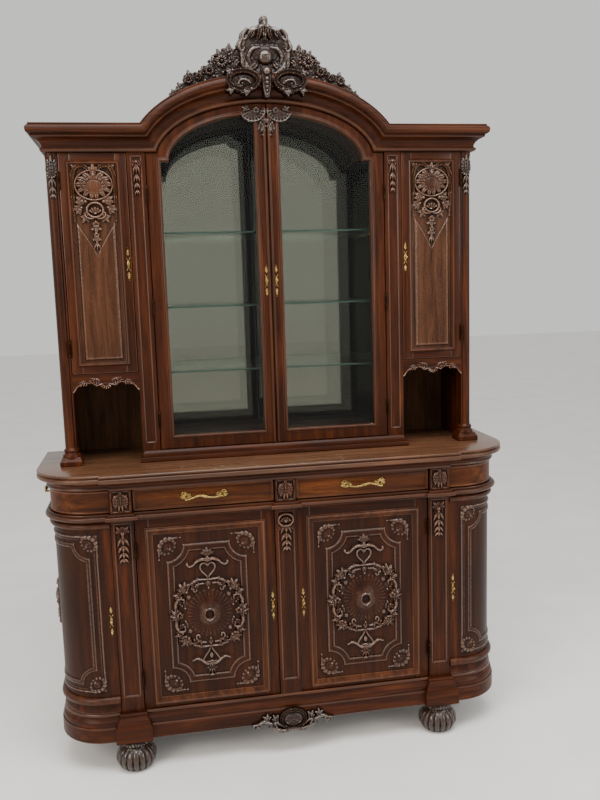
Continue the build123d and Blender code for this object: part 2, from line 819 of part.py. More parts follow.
def crest_carving():
    """Carved shell and sprays on top of the arch."""
    a = arch_half + cornice_height
    b = arch_rise + cornice_height
    start = math.degrees(math.acos(crest_half / a))
    foot = EllipticalCenterArc((0, spring_z), a, b, start, arc_size=180 - 2 * start)
    ends = sorted([foot @ 0, foot @ 1], key=lambda point: point.X)
    right = [(crest_half * x, spring_z + b * math.sqrt(1 - (crest_half * x / a) ** 2) + rise)
             for x, rise in crest_shape[:-1]]
    right.append((crest_half * crest_shape[-1][0], crest_z))
    left = [(-x, z) for x, z in reversed(right)]
    points = [(ends[1].X, ends[1].Y), *right, *left, (ends[0].X, ends[0].Y)]
    edges = [Line(a, b) for a, b in zip(points, points[1:])]
    y0 = upper_y - cornice_steps[-1][1] + 6
    return [front_plate([foot, *edges], y0, y0 + 44)]


# ---------------------------------------------------------------- upper part: glass
mirror_x = vitrine_x - board          # inner face of a vitrine wall
mirror_floor = upper_plinth_z + 2


def mirrors():
    """Arched mirror on the back and a mirror on each side wall."""
    a, b = arch_half - 4, arch_rise - 4
    low = slab(glass - mirror_x, mirror_x - glass, panel_back_y - glass, panel_back_y,
               mirror_floor, cornice_z - 2)
    keep = Pos(0, total_depth + arch_drop - 2) * Rectangle(4 * half, 2 * total_depth)
    top = Plane.XZ.offset(glass - panel_back_y) * (Pos(0, spring_z) * (Ellipse(a, b) & keep))
    back = fused([low, extrude(top, amount=glass, dir=(0, 1, 0))])
    side = slab(mirror_x - glass, mirror_x, upper_pilaster_back_y + 5, panel_back_y,
                mirror_floor, cornice_z - 2)
    return [back, *pair([side])]


shelf_levels = [upper_plinth_z + share * upper_wall_height for share in (0.26, 0.485, 0.737)]
shelf_x = mirror_x - glass - 2
shelf_y0 = upper_y + upper_door + 22
shelf_y1 = panel_back_y - glass - 4


def glass_shelves():
    return [slab(-shelf_x, shelf_x, shelf_y0, shelf_y1, z, z + shelf_glass)
            for z in shelf_levels]


def shelf_pegs():
    """Round brass pegs under the glass shelves."""
    radius, length = 3, 12
    pegs = []
    for z in shelf_levels:
        for y in (shelf_y0 + 30, shelf_y1 - 30):
            peg = Pos(mirror_x - glass - length / 2, y, z - radius) * Rot(0, 90, 0)
            pegs += pair([peg * Cylinder(radius, length)])
    return pegs


# ---------------------------------------------------------------- upper part: doors
glass_x0 = glass_door_gap
glass_x1 = glazed_half - hinge_gap
glass_z0 = upper_plinth_z + gap
glass_z1 = cornice_z - gap
meeting_stile = 41
hinge_stile = 48
glazed_low_rail = 46
door_a, door_b = arch_half - gap, arch_rise - gap
sight_a, sight_b = door_a - 42, door_b - 34


def glass_door_outline():
    return arched_outline(glass_x0, glass_x1, glass_z0, glass_z1, door_a, door_b)


def sight_face(grow):
    """Glazed opening of the right-hand door in the front view, made larger all round."""
    x0, x1 = glass_x0 + meeting_stile - grow, glass_x1 - hinge_stile + grow
    z0 = glass_z0 + glazed_low_rail - grow
    tall = spring_z - z0
    body = Pos((x0 + x1) / 2, z0 + tall / 2) * Rectangle(x1 - x0, tall)
    oval = Pos(0, spring_z) * Ellipse(sight_a + grow, sight_b + grow)
    clip = Pos(x0 + half, spring_z + half) * Rectangle(2 * half, 2 * half)
    return body + (oval & clip)


def front_solid(face, y0, y1):
    return extrude(Plane.XZ.offset(-y0) * face, amount=y1 - y0, dir=(0, 1, 0))


pane_y0 = upper_y + 10
pane_lap = 7


def glass_door_frame():
    """Arched frame of stiles, a low rail and a shaped head, grooved for the pane."""
    whole = front_plate(glass_door_outline(), upper_y, upper_y + upper_door)
    opening = front_solid(sight_face(0), upper_y - 1, upper_y + upper_door + 1)
    pane_slot = front_solid(sight_face(pane_lap), pane_y0, pane_y0 + glass)
    whole = whole - opening - pane_slot
    rail_top = glass_z0 + glazed_low_rail
    cuts = {
        "meeting": (glass_x0, glass_x0 + meeting_stile, glass_z0, crown_z),
        "hinge": (glass_x1 - hinge_stile, glass_x1, glass_z0, spring_z),
        "rail": (glass_x0 + meeting_stile, glass_x1 - hinge_stile, glass_z0, rail_top),
        "head": (glass_x0 + meeting_stile, glass_x1, spring_z, crown_z),
    }
    parts = []
    for x0, x1, z0, z1 in cuts.values():
        parts += (whole & slab(x0, x1, upper_y - 5, upper_y + upper_door + 5, z0, z1)).solids()
    return parts


def glass_door_pane():
    return [front_solid(sight_face(pane_lap), pane_y0, pane_y0 + glass)]


def glass_door_fittings():
    lock_z = upper_plinth_z + 0.57 * upper_wall_height
    parts = lock_fittings(glass_x0 + 16, upper_y, lock_z, upper_y + upper_door)
    return parts + hinge_set(moving_hinge, glass_hinge_x, upper_hinge_y, glass_hinges, -1,
                             upper_hinge_y, upper_y + upper_door - 2)


tower_door_x0 = tower_inner_x + free_gap
tower_door_x1 = post_inner_x - hinge_gap
tower_door_z0 = tower_z + gap
tower_door_z1 = cornice_z - gap


def tower_door():
    """Frame, panel and carved shell of a tower door."""
    x0, x1, z0, z1 = tower_door_x0, tower_door_x1, tower_door_z0, tower_door_z1
    width = 36
    front, rear = upper_y, upper_y + wall
    parts = frame_ring(x0, x1, z0, z1, width, front, rear)
    parts.append(slab(x0 + width, x1 - width, front + 5, front + 17, z0 + width, z1 - width))
    parts += frame_ring(x0 + 22, x1 - 22, z0 + 24, z1 - 24, 14, front - 8, front)
    x = (x0 + x1) / 2
    top = z1 - width - 10
    shape = [(x - 64, top), (x + 64, top), (x + 64, top - 90), (x + 40, top - 230),
             (x, top - 330), (x - 40, top - 230), (x - 64, top - 90)]
    parts.append(front_plate(loop(shape), front - 16, front + 5))
    return parts


def tower_door_fittings():
    lock_z = upper_plinth_z + 0.638 * upper_wall_height
    parts = lock_fittings(tower_door_x0 + 11, upper_y, lock_z, upper_y + wall)
    return parts + hinge_set(moving_hinge, tower_hinge_x, upper_hinge_y, tower_hinges, -1,
                             upper_hinge_y, upper_y + wall - 2)


def fixed_hinge_knuckles():
    """Carcass halves of all the door hinges."""
    parts = hinge_set(fixed_hinge, base_hinge_x, base_hinge_y, base_hinges, 1,
                      base_hinge_y, face_y + wall - 2)
    parts += hinge_set(fixed_hinge, side_hinge_x, side_hinge_y, end_hinges, 1,
                       half - wall + 2, side_hinge_x, True)
    parts += hinge_set(fixed_hinge, tower_hinge_x, upper_hinge_y, tower_hinges, 1,
                       upper_hinge_y, post_back_y - 2)
    parts += hinge_set(fixed_hinge, glass_hinge_x, upper_hinge_y, glass_hinges, 1,
                       upper_hinge_y, upper_y + upper_door - 2)
    return pair(parts)


# ---------------------------------------------------------------- writing the parts
def save(name, shapes):
    """Write one sub-part, as separate solids, to its own STEP file."""
    solids = [solid for shape in shapes for solid in shape.solids()]
    export_step(Compound(solids), f"parts/{name}.step")


standing_parts = (
    front_feet, rear_feet, plinth_frame, plinth_blocks, apron_carving, base_floor,
    base_back_panel, base_partitions, side_pilasters, centre_pilaster, rear_side_posts,
    drawer_deck, frieze_blocks, waist_moulding, base_shelves, base_top, upper_plinth,
    vitrine_walls, tower_outer_walls, upper_back_panel, upper_roof, tower_floors,
    niche_aprons, tower_shelves, upper_pilasters, corner_posts, cornice, crest_carving,
    mirrors, glass_shelves, shelf_pegs, fixed_hinge_knuckles,
)

moving_parts = (
    glass_door_frame, glass_door_pane, glass_door_fittings, tower_door,
    tower_door_fittings, base_door_frame, base_door_panel, base_door_fittings, end_door,
    end_door_fittings, base_drawer, base_drawer_pull, end_drawer, end_drawer_pull,
)

os.makedirs("parts", exist_ok=True)
for part in standing_parts:
    save(part.__name__, part())
for part in moving_parts:
    shapes = part()
    save(f"right_{part.__name__}", shapes)
    save(f"left_{part.__name__}", [other_side(shape) for shape in shapes])
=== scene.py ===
# %% [markdown]
# # A carved oak china cabinet
# The cabinet is a two-part piece in the rococo revival taste: dark stained oak, waxed over many years,
# with glass doors above and a bow-ended base below. The CAD model gives every size and every joint.
# This lesson gives the wood, the mouldings, the carving, the brass and the glass.

# %% The frame
import json
import math

import bmesh
import bpy
import numpy as np
from mathutils import Matrix, Vector


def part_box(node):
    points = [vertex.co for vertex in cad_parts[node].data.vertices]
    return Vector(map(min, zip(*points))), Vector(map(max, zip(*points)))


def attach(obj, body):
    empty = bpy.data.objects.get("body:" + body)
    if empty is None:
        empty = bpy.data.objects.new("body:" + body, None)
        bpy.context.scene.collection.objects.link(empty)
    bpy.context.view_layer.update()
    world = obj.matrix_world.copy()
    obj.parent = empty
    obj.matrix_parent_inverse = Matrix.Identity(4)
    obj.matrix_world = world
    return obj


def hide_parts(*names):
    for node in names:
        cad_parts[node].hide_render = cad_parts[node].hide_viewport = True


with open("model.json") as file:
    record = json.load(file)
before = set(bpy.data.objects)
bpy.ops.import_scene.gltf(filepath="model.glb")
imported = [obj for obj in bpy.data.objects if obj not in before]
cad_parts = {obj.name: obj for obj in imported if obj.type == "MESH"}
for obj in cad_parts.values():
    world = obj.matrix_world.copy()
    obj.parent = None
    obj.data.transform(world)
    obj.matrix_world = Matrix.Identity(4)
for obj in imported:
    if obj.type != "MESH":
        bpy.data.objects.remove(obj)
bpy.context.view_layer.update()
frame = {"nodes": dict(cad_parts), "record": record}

nodes = frame["nodes"]

# %% [markdown]
# Cabinet makers think in millimetres, so all sizes below are in millimetres and are divided by 1000
# only when a mesh is made. The main lines of the cabinet are read from the CAD sub-parts.

# %% Lines of the cabinet
MM = 0.001


def low(node):
    """Lowest corner of a CAD sub-part, in millimetres."""
    return np.array(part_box(node)[0]) / MM


def high(node):
    """Highest corner of a CAD sub-part, in millimetres."""
    return np.array(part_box(node)[1]) / MM


SIDES = (("right", 1), ("left", -1))
half = high("rear_side_posts")[0]
back = high("base_back_panel")[1]
band_out = 16
face = low("right_end_door")[1] + band_out
corner_radius = 145
corner_x, corner_y = half - corner_radius, face + corner_radius
plinth_block_half = 63
pilaster_x = high("plinth_blocks")[0] - plinth_block_half
upper_face = low("right_glass_door_frame")[1]
table_z = round(high("base_top")[2])
cornice_z = low("cornice")[2]
cornice_tall = 90
# the arch is half an ellipse that springs a little below the cornice
spring_z = cornice_z - 30
arch_a = 384
arch_b = high("cornice")[2] - cornice_tall - spring_z
upper_half = high("tower_outer_walls")[0]
print("half width", half, "door face", face, "pilaster", pilaster_x, "arch rise", arch_b)

# %% [markdown]
# ## Finishes
# One small function adds a shader node with its settings and links, and one turns sRGB hex colours to
# linear ones. The oak is dark-stained and waxed: open pores run along each board as short dark dashes,
# and a slow figure runs across it. The hollows are painted dark, for wax and painted shade, and the
# edges and ridges are painted lighter, for wear and a painted highlight. The carver's pieces carry a
# "tone" value at each point, high on the ridges and low in the hollows, and the same oak reads it.

# %% Colour and node helpers
def linear(text):
    """Linear colour of an sRGB hex value."""
    channels = [int(text[i:i + 2], 16) / 255 for i in (1, 3, 5)]
    return [c / 12.92 if c <= 0.04045 else ((c + 0.055) / 1.055) ** 2.4 for c in channels] + [1]


def add(tree, kind, inputs=None, **settings):
    """Adds a shader node, with its settings, its values and its links."""
    made = tree.nodes.new("ShaderNode" + kind)
    for key, value in settings.items():
        setattr(made, key, value)
    for key, value in (inputs or {}).items():
        if isinstance(value, bpy.types.NodeSocket):
            tree.links.new(value, made.inputs[key])
        else:
            made.inputs[key].default_value = value
    return made


def ramp(tree, factor, *stops):
    """Colour ramp from (place, hex) stops."""
    made = add(tree, "ValToRGB", {"Fac": factor})
    elements = made.color_ramp.elements
    while len(elements) < len(stops):
        elements.new(0.5)
    for element, (place, text) in zip(elements, stops):
        element.position = place
        element.color = linear(text)
    return made.outputs["Color"]


def finish(name, slot):
    """Empty material with its principled shader, and the record's slot that it belongs to."""
    material = bpy.data.materials.new(name)
    material.use_nodes = True
    material["slot"] = slot
    return material, material.node_tree, material.node_tree.nodes["Principled BSDF"]


# %% Waxed oak
GRAIN = {"x": (1, 0, 0), "z": (0, 0, 1)}


def remapped(tree, value, low_in, high_in, low_out, high_out):
    """Value moved from one range to another and held inside it."""
    return add(tree, "MapRange", {"Value": value, "From Min": low_in, "From Max": high_in,
                                  "To Min": low_out, "To Max": high_out}).outputs["Result"]


def blended(tree, factor, colour, text):
    """Colour that turns to a hex colour as the factor grows."""
    return add(tree, "MixRGB", {"Fac": factor, "Color1": colour,
                                "Color2": linear(text)}).outputs["Color"]


def stretched(tree, across, along, axis):
    """Object coordinates in repeats per metre, drawn out along the grain."""
    place = add(tree, "TexCoord").outputs["Object"]
    scale = [along if part else across for part in GRAIN[axis]]
    return add(tree, "Mapping", {"Vector": place, "Scale": scale}).outputs["Vector"]


def waxed_oak(name, axis, dark, middle, light, wear_and_highlight, slot="carved_oak", shine=0.33,
              gloss=0.13):
    """Stained oak: pores about 1 mm wide and 30 mm long, and figure about 20 mm wide."""
    material, tree, shader = finish(name, slot)
    figure = add(tree, "TexNoise", {"Vector": stretched(tree, 46, 3.0, axis), "Scale": 1,
                                    "Detail": 5, "Roughness": 0.6, "Distortion": 0.6})
    pores = add(tree, "TexNoise", {"Vector": stretched(tree, 620, 22, axis), "Scale": 1,
                                   "Detail": 2, "Roughness": 0.5})
    cloud = add(tree, "TexNoise", {"Vector": stretched(tree, 5, 2.2, axis), "Scale": 1,
                                   "Detail": 2, "Roughness": 0.5})
    wood = ramp(tree, figure.outputs["Fac"], (0.28, dark), (0.5, middle), (0.74, light))
    dashes = remapped(tree, pores.outputs["Fac"], 0.56, 0.68, 0, 0.55)
    wood = blended(tree, dashes, wood, "#120805")
    shade = remapped(tree, cloud.outputs["Fac"], 0.3, 0.7, 0.72, 1.22)
    wood = add(tree, "MixRGB", {"Fac": 1, "Color1": wood, "Color2": shade},
               blend_type="MULTIPLY").outputs["Color"]
    tone = add(tree, "Attribute", attribute_name="tone").outputs["Fac"]
    # ridges take the last colour of the set: wear with a painted highlight
    ridge = remapped(tree, tone, 0.05, 1, 0, 0.42)
    # hollows go nearly black: dark wax with painted shade
    hollow = remapped(tree, tone, -0.05, -1, 0, 0.85)
    wood = blended(tree, ridge, wood, wear_and_highlight)
    wood = blended(tree, hollow, wood, "#0d0604")
    rough = remapped(tree, figure.outputs["Fac"], 0.3, 0.7, shine, shine + 0.14)
    polish = add(tree, "Math", {0: ridge, 1: 0.45}, operation="MULTIPLY").outputs["Value"]
    wax = add(tree, "Math", {0: ridge, 1: 2.0, 2: gloss}, operation="MULTIPLY_ADD")
    rough = add(tree, "Math", {0: rough, 1: polish}, operation="SUBTRACT")
    dent = add(tree, "Bump", {"Height": pores.outputs["Fac"], "Strength": 0.22,
                              "Distance": 0.0006})
    tree.links.new(wood, shader.inputs["Base Color"])
    tree.links.new(rough.outputs["Value"], shader.inputs["Roughness"])
    tree.links.new(dent.outputs["Normal"], shader.inputs["Normal"])
    shader.inputs["IOR"].default_value = 1.5
    tree.links.new(wax.outputs["Value"], shader.inputs["Specular IOR Level"])
    shader.inputs["Coat Weight"].default_value = 0.03
    shader.inputs["Coat Roughness"].default_value = 0.2
    return material


# the last colour of each set is for ridges and edges: wear with a painted highlight
DARK = ("#210d04", "#351606", "#4e250c", "#7d5233")
WARM = ("#2c1206", "#4d260d", "#6b3c19", "#8b5c38")
TOP_SHEEN = ("#26120a", "#432513", "#5e3b24", "#87654c")
# dark red-brown frames, posts and mouldings with fine upright or level streaks
oak_up = waxed_oak("waxed oak upright grain", "z", *DARK)
oak_across = waxed_oak("waxed oak level grain", "x", *DARK)
# a paler, greyer top board: the sheen of the light on the level top is painted into its colour
oak_top = waxed_oak("waxed oak worn top board", "x", *TOP_SHEEN, shine=0.3)
# drawer fronts that look warmer and lighter than the frame round them
oak_drawer = waxed_oak("waxed oak drawer fronts", "x", *WARM)
# lighter and redder than the frames: painted light, for the light the bolection catches from above,
# with a worn, highlit outer edge
lit_oak_moulding = waxed_oak("waxed oak door mouldings", "z", "#260f06", "#41200c", "#5b3319",
                         "#855a38")
# the darkest of the flat woods, nearly black between the carvings
oak_panel = waxed_oak("waxed oak panels", "z", "#1e0b03", "#2d1205", "#3e1e08", "#6e4a30")
# faded brown panels with a clear sheen
oak_tower = waxed_oak("waxed oak tower panels", "z", "#2c160a", "#452816", "#583622", "#7d5a42",
                      shine=0.28, gloss=0.18)
# brown-black carving whose ridges are painted pale: wear with a painted highlight
carved_oak = waxed_oak("waxed oak carving", "z", "#120804", "#1e0f08", "#301a0f", "#604a3c",
                       shine=0.26, gloss=0.2)
# dull dark boards inside, stained but never waxed
inside_oak = waxed_oak("stained oak inside", "z", "#130a06", "#22120a", "#33190d", "#4a2a17",
                       slot="plain_oak", shine=0.5)
# bare boards gone grey-brown with age
back_wood = waxed_oak("aged back boards", "z", "#3a2415", "#553822", "#6d4a2e", "#8b6544",
                      slot="back_board", shine=0.62)
print("oak finishes", len([m for m in bpy.data.materials if "oak" in m.name]))


# %% [markdown]
# The fittings are cast brass, lacquered once and now worn: warm yellow on the high parts and brown
# in the hollows. The doors hold clear plate glass, the shelves are plate with ground edges that look
# green because light travels a long way inside them, and the back is silvered.

# %% Brass and glass
def worn_brass(name, dull, plain, bright):
    """Brass with brown tarnish in its hollows."""
    material, tree, shader = finish(name, "brass")
    place = add(tree, "TexCoord").outputs["Object"]
    stain = add(tree, "TexNoise", {"Vector": place, "Scale": 140, "Detail": 4})
    colour = ramp(tree, stain.outputs["Fac"], (0.3, dull), (0.55, plain), (0.75, bright))
    tone = add(tree, "Attribute", attribute_name="tone").outputs["Fac"]
    colour = blended(tree, remapped(tree, tone, 0, -1, 0, 0.8), colour, "#3b2710")
    tree.links.new(colour, shader.inputs["Base Color"])
    tree.links.new(remapped(tree, stain.outputs["Fac"], 0, 1, 0.2, 0.42),
                   shader.inputs["Roughness"])
    shader.inputs["Metallic"].default_value = 1
    return material


def clear_glass(name, slot, colour, tint):
    """Plate glass as a thin clear film over what is behind it."""
    material, tree, shader = finish(name, slot)
    shader.inputs["Base Color"].default_value = linear(colour)
    shader.inputs["Roughness"].default_value = 0.02
    shader.inputs["IOR"].default_value = 1.5
    shader.inputs["Transmission Weight"].default_value = 1
    shader.inputs["Alpha"].default_value = tint
    return material


def silvering():
    """Mirror glass, slightly grey with age."""
    material, tree, shader = finish("silvered mirror", "mirror")
    place = add(tree, "TexCoord").outputs["Object"]
    spots = add(tree, "TexNoise", {"Vector": place, "Scale": 9, "Detail": 6})
    rough = remapped(tree, spots.outputs["Fac"], 0.5, 0.9, 0, 0.06)
    shader.inputs["Base Color"].default_value = linear("#7c7d70")
    shader.inputs["Metallic"].default_value = 1
    tree.links.new(rough, shader.inputs["Roughness"])
    return material


# castings that shine yellow on their high parts, brown in between
brass = worn_brass("worn cast brass", "#6b5730", "#b09458", "#d6c28c")
# hinges that read as nearly black lines beside the doors
dark_brass = worn_brass("blackened hinge brass", "#120c07", "#2a1c10", "#4a351d")
# almost unseen, with soft reflections
pane_glass = clear_glass("bevelled plate glass", "door_glass", "#f4faf7", 0.22)
shelf_glass = clear_glass("plate glass shelf", "shelf_glass", "#cfe8dc", 0.5)
# the green line along the front of each shelf
edge_glass = clear_glass("ground glass edge", "shelf_glass", "#4f9c86", 0.95)
edge_glass.node_tree.nodes["Principled BSDF"].inputs["Roughness"].default_value = 0.25
# a dim grey-green mirror that makes the cabinet look deeper
mirror_silver = silvering()
print("finishes", len(bpy.data.materials))


# %% [markdown]
# ## Making pieces
# Three ways of making are enough, beside the carving. Boards are cubes that are scaled, eased with a
# bevel and joined. Mouldings are a profile drawn along a line, so that every corner is a true mitre:
# Blender's curve bevel thins a mitre, so the rows of points are set directly. Turned parts are a
# profile spun about an axis.

# %% Piece helpers
def only(made):
    """Selects one object alone."""
    bpy.ops.object.select_all(action="DESELECT")
    made.select_set(True)
    bpy.context.view_layer.objects.active = made


def dress(made, material, body, stands_for=(), angle=38):
    """Gives a finished piece its material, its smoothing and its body."""
    made.data.materials.clear()
    made.data.materials.append(material)
    only(made)
    bpy.ops.object.shade_smooth_by_angle(angle=math.radians(angle))
    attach(made, body)
    if stands_for:
        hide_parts(*stands_for)
    return made


def from_points(name, points, faces):
    """Object with a mesh from points in millimetres, its normals turned outwards."""
    mesh = bpy.data.meshes.new(name)
    mesh.from_pydata([Vector(p) * MM for p in points], [], faces)
    work = bmesh.new()
    work.from_mesh(mesh)
    bmesh.ops.recalc_face_normals(work, faces=work.faces)
    work.to_mesh(mesh)
    work.free()
    made = bpy.data.objects.new(name, mesh)
    bpy.context.scene.collection.objects.link(made)
    return made


def joined(name, parts):
    """One object from several."""
    bpy.ops.object.select_all(action="DESELECT")
    for part in parts:
        part.select_set(True)
    bpy.context.view_layer.objects.active = parts[0]
    if len(parts) > 1:
        bpy.ops.object.join()
    parts[0].name = name
    parts[0].data.name = name
    return parts[0]


def eased(made, width):
    """Takes the sharpness off the edges."""
    only(made)
    bevel = made.modifiers.new("ease", "BEVEL")
    bevel.width = width * MM
    bevel.segments = 2
    bevel.limit_method = "ANGLE"
    bevel.angle_limit = math.radians(35)
    bpy.ops.object.modifier_apply(modifier="ease")
    return made


def edges_worn_and_highlit(made):
    """Lighter tone on strips narrower than a few millimetres, for wear and a painted highlight,
    nothing elsewhere.
    """
    strip, wear_and_highlight = 4.0, 0.55
    tone = made.data.attributes.new("tone", "FLOAT", "FACE")
    values = np.zeros(len(made.data.polygons))
    for face_made in made.data.polygons:
        edges = [(made.data.vertices[a].co - made.data.vertices[b].co).length
                 for a, b in face_made.edge_keys]
        if min(edges) < strip * MM:
            values[face_made.index] = wear_and_highlight
    tone.data.foreach_set("value", values)
    return made


def plain_boards(name, boxes, ease=1.5):
    """Boards between opposite corners (x0, x1, y0, y1, z0, z1), with eased edges."""
    parts = []
    for x0, x1, y0, y1, z0, z1 in boxes:
        bpy.ops.mesh.primitive_cube_add(size=1, location=(0, 0, 0))
        board = bpy.context.object
        size = Matrix.Diagonal(((x1 - x0) * MM, (y1 - y0) * MM, (z1 - z0) * MM, 1))
        middle = Vector(((x0 + x1) / 2, (y0 + y1) / 2, (z0 + z1) / 2)) * MM
        board.data.transform(Matrix.Translation(middle) @ size)
        parts.append(board)
    return edges_worn_and_highlit(eased(joined(name, parts), ease))


def skin(name, rows, wrap_rows=False, wrap_columns=False):
    """Surface over rows of points. Rows or columns that close on themselves make tubes and rings,
    and open ends are capped."""
    rows = [[tuple(p) for p in row] for row in rows]
    count, width = len(rows), len(rows[0])
    points = [p for row in rows for p in row]
    faces = []
    for r in range(count if wrap_rows else count - 1):
        after = (r + 1) % count
        for c in range(width if wrap_columns else width - 1):
            right = (c + 1) % width
            faces.append((r * width + c, r * width + right, after * width + right,
                          after * width + c))
    if wrap_rows and not wrap_columns:
        faces.append([r * width for r in range(count)])
        faces.append([r * width + width - 1 for r in range(count)])
    if wrap_columns and not wrap_rows:
        faces.append(list(range(width)))
        faces.append([(count - 1) * width + c for c in range(width)])
    return from_points(name, points, faces)


def run_wear_and_painted_light(made, profile, across):
    """Tone along a moulding: high where its profile is convex, for wear and a painted highlight, and
    low where it is hollow, for wax and painted shade.
    """
    amount = 0.5
    tone = made.data.attributes.new("tone", "FLOAT", "POINT")
    p = np.array(profile, float)
    before, after = np.roll(p, 1, 0) - p, np.roll(p, -1, 0) - p
    turn = np.cross(before, after) / (np.hypot(*before.T) * np.hypot(*after.T) + 1e-9)
    area = np.cross(p, np.roll(p, -1, 0)).sum()
    turn = -turn * np.sign(area)
    values = np.repeat(np.clip(turn, -1, 1) * amount, across)
    tone.data.foreach_set("value", values)
    return made


def detailed(profile):
    """Profile with extra points beside the corners of its long flats, so that the lighter tone of wear
    and painted highlight stays there.
    """
    near, fine = 1.2, []
    for a, b in zip(profile, [*profile[1:], profile[0]]):
        fine.append(a)
        length = math.dist(a, b)
        if length > 5 * near:
            step = [(q - p) * near / length for p, q in zip(a, b)]
            fine.append((a[0] + step[0], a[1] + step[1]))
            fine.append((b[0] - step[0], b[1] - step[1]))
    return fine


def run(name, profile, line, closed=False):
    """Moulding: line(out, up) gives the points of the run at each point of the profile."""
    profile = detailed(profile)
    rows = [line(out, up) for out, up in profile]
    made = skin(name, rows, wrap_rows=True, wrap_columns=closed)
    return run_wear_and_painted_light(made, profile, len(rows[0]))


def curve_points(centre, radius, start, stop, count=7, squash=1.0):
    """Points on an arc, in degrees, both ends included."""
    angles = np.radians(np.linspace(start, stop, count))
    return [(centre[0] + radius * math.cos(a), centre[1] + radius * squash * math.sin(a))
            for a in angles]


def turned(name, x, y, profile, count=48):
    """Piece turned about an upright axis: the profile (radius, height) is drawn as an edge and
    spun."""
    mesh = bpy.data.meshes.new(name)
    mesh.from_pydata([Vector((x + r, y, z)) * MM for r, z in profile],
                     [(i, i + 1) for i in range(len(profile) - 1)], [])
    made = bpy.data.objects.new(name, mesh)
    bpy.context.scene.collection.objects.link(made)
    only(made)
    bpy.ops.object.mode_set(mode="EDIT")
    bpy.ops.mesh.select_all(action="SELECT")
    bpy.ops.mesh.spin(steps=count, angle=math.tau, center=(x * MM, y * MM, 0), axis=(0, 0, 1))
    bpy.ops.mesh.select_all(action="SELECT")
    bpy.ops.mesh.remove_doubles(threshold=0.00001)
    bpy.ops.mesh.normals_make_consistent(inside=False)
    bpy.ops.object.mode_set(mode="OBJECT")
    return made


# %% [markdown]
# ## Carving
# A carver works down from a flat block with gouges, so a height field is the natural model: each
# stroke raises a rounded ridge along a flowing line, a cut sinks a groove, and leaves, shells and
# scrolls are built from strokes. The field becomes a mesh on the panel that carries it. What stands
# above its surroundings is painted light, for wear and a painted highlight, and what lies below them
# is painted dark, for wax and painted shade.

# %% The carver's strokes
def flowing(points, spacing=1.4):
    """Evenly divided smooth line through points (Catmull-Rom)."""
    p = np.array(points, float)
    p = np.vstack([2 * p[0] - p[1], p, 2 * p[-1] - p[-2]])
    t = np.linspace(0, 1, 12, endpoint=False)[:, None]
    parts = []
    for a, b, c, d in zip(p, p[1:], p[2:], p[3:]):
        parts.append(0.5 * (2 * b + (c - a) * t + (2 * a - 5 * b + 4 * c - d) * t ** 2
                            + (3 * b - a - 3 * c + d) * t ** 3))
    line = np.vstack([*parts, p[-2]])
    length = np.concatenate([[0], np.cumsum(np.hypot(*np.diff(line, axis=0).T))])
    places = np.linspace(0, length[-1], int(np.clip(length[-1] / spacing, 6, 110)))
    return np.stack([np.interp(places, length, line[:, 0]),
                     np.interp(places, length, line[:, 1])], 1)


def winding(start, heading, length, bends):
    """Line that starts in a direction (degrees) and turns by the bends, in degrees per mm."""
    count = max(8, int(length / 2))
    step = length / count
    turn = np.interp(np.linspace(0, 1, count), np.linspace(0, 1, len(bends)), bends)
    headings = np.radians(heading + np.cumsum(turn) * step)
    moves = np.stack([np.cos(headings), np.sin(headings)], 1) * step
    return np.vstack([start, start + np.cumsum(moves, 0)])


def blurred(field, reach):
    """Field smoothed over a few cells, by repeated box averages."""
    for _ in range(2):
        for axis in (0, 1):
            padded = np.pad(field, [(reach + 1, reach) if a == axis else (0, 0)
                                    for a in (0, 1)], mode="edge")
            total = np.cumsum(padded, axis)
            ends = [np.take(total, range(s, s + field.shape[axis]), axis)
                    for s in (2 * reach + 1, 0)]
            field = (ends[0] - ends[1]) / (2 * reach + 1)
    return field


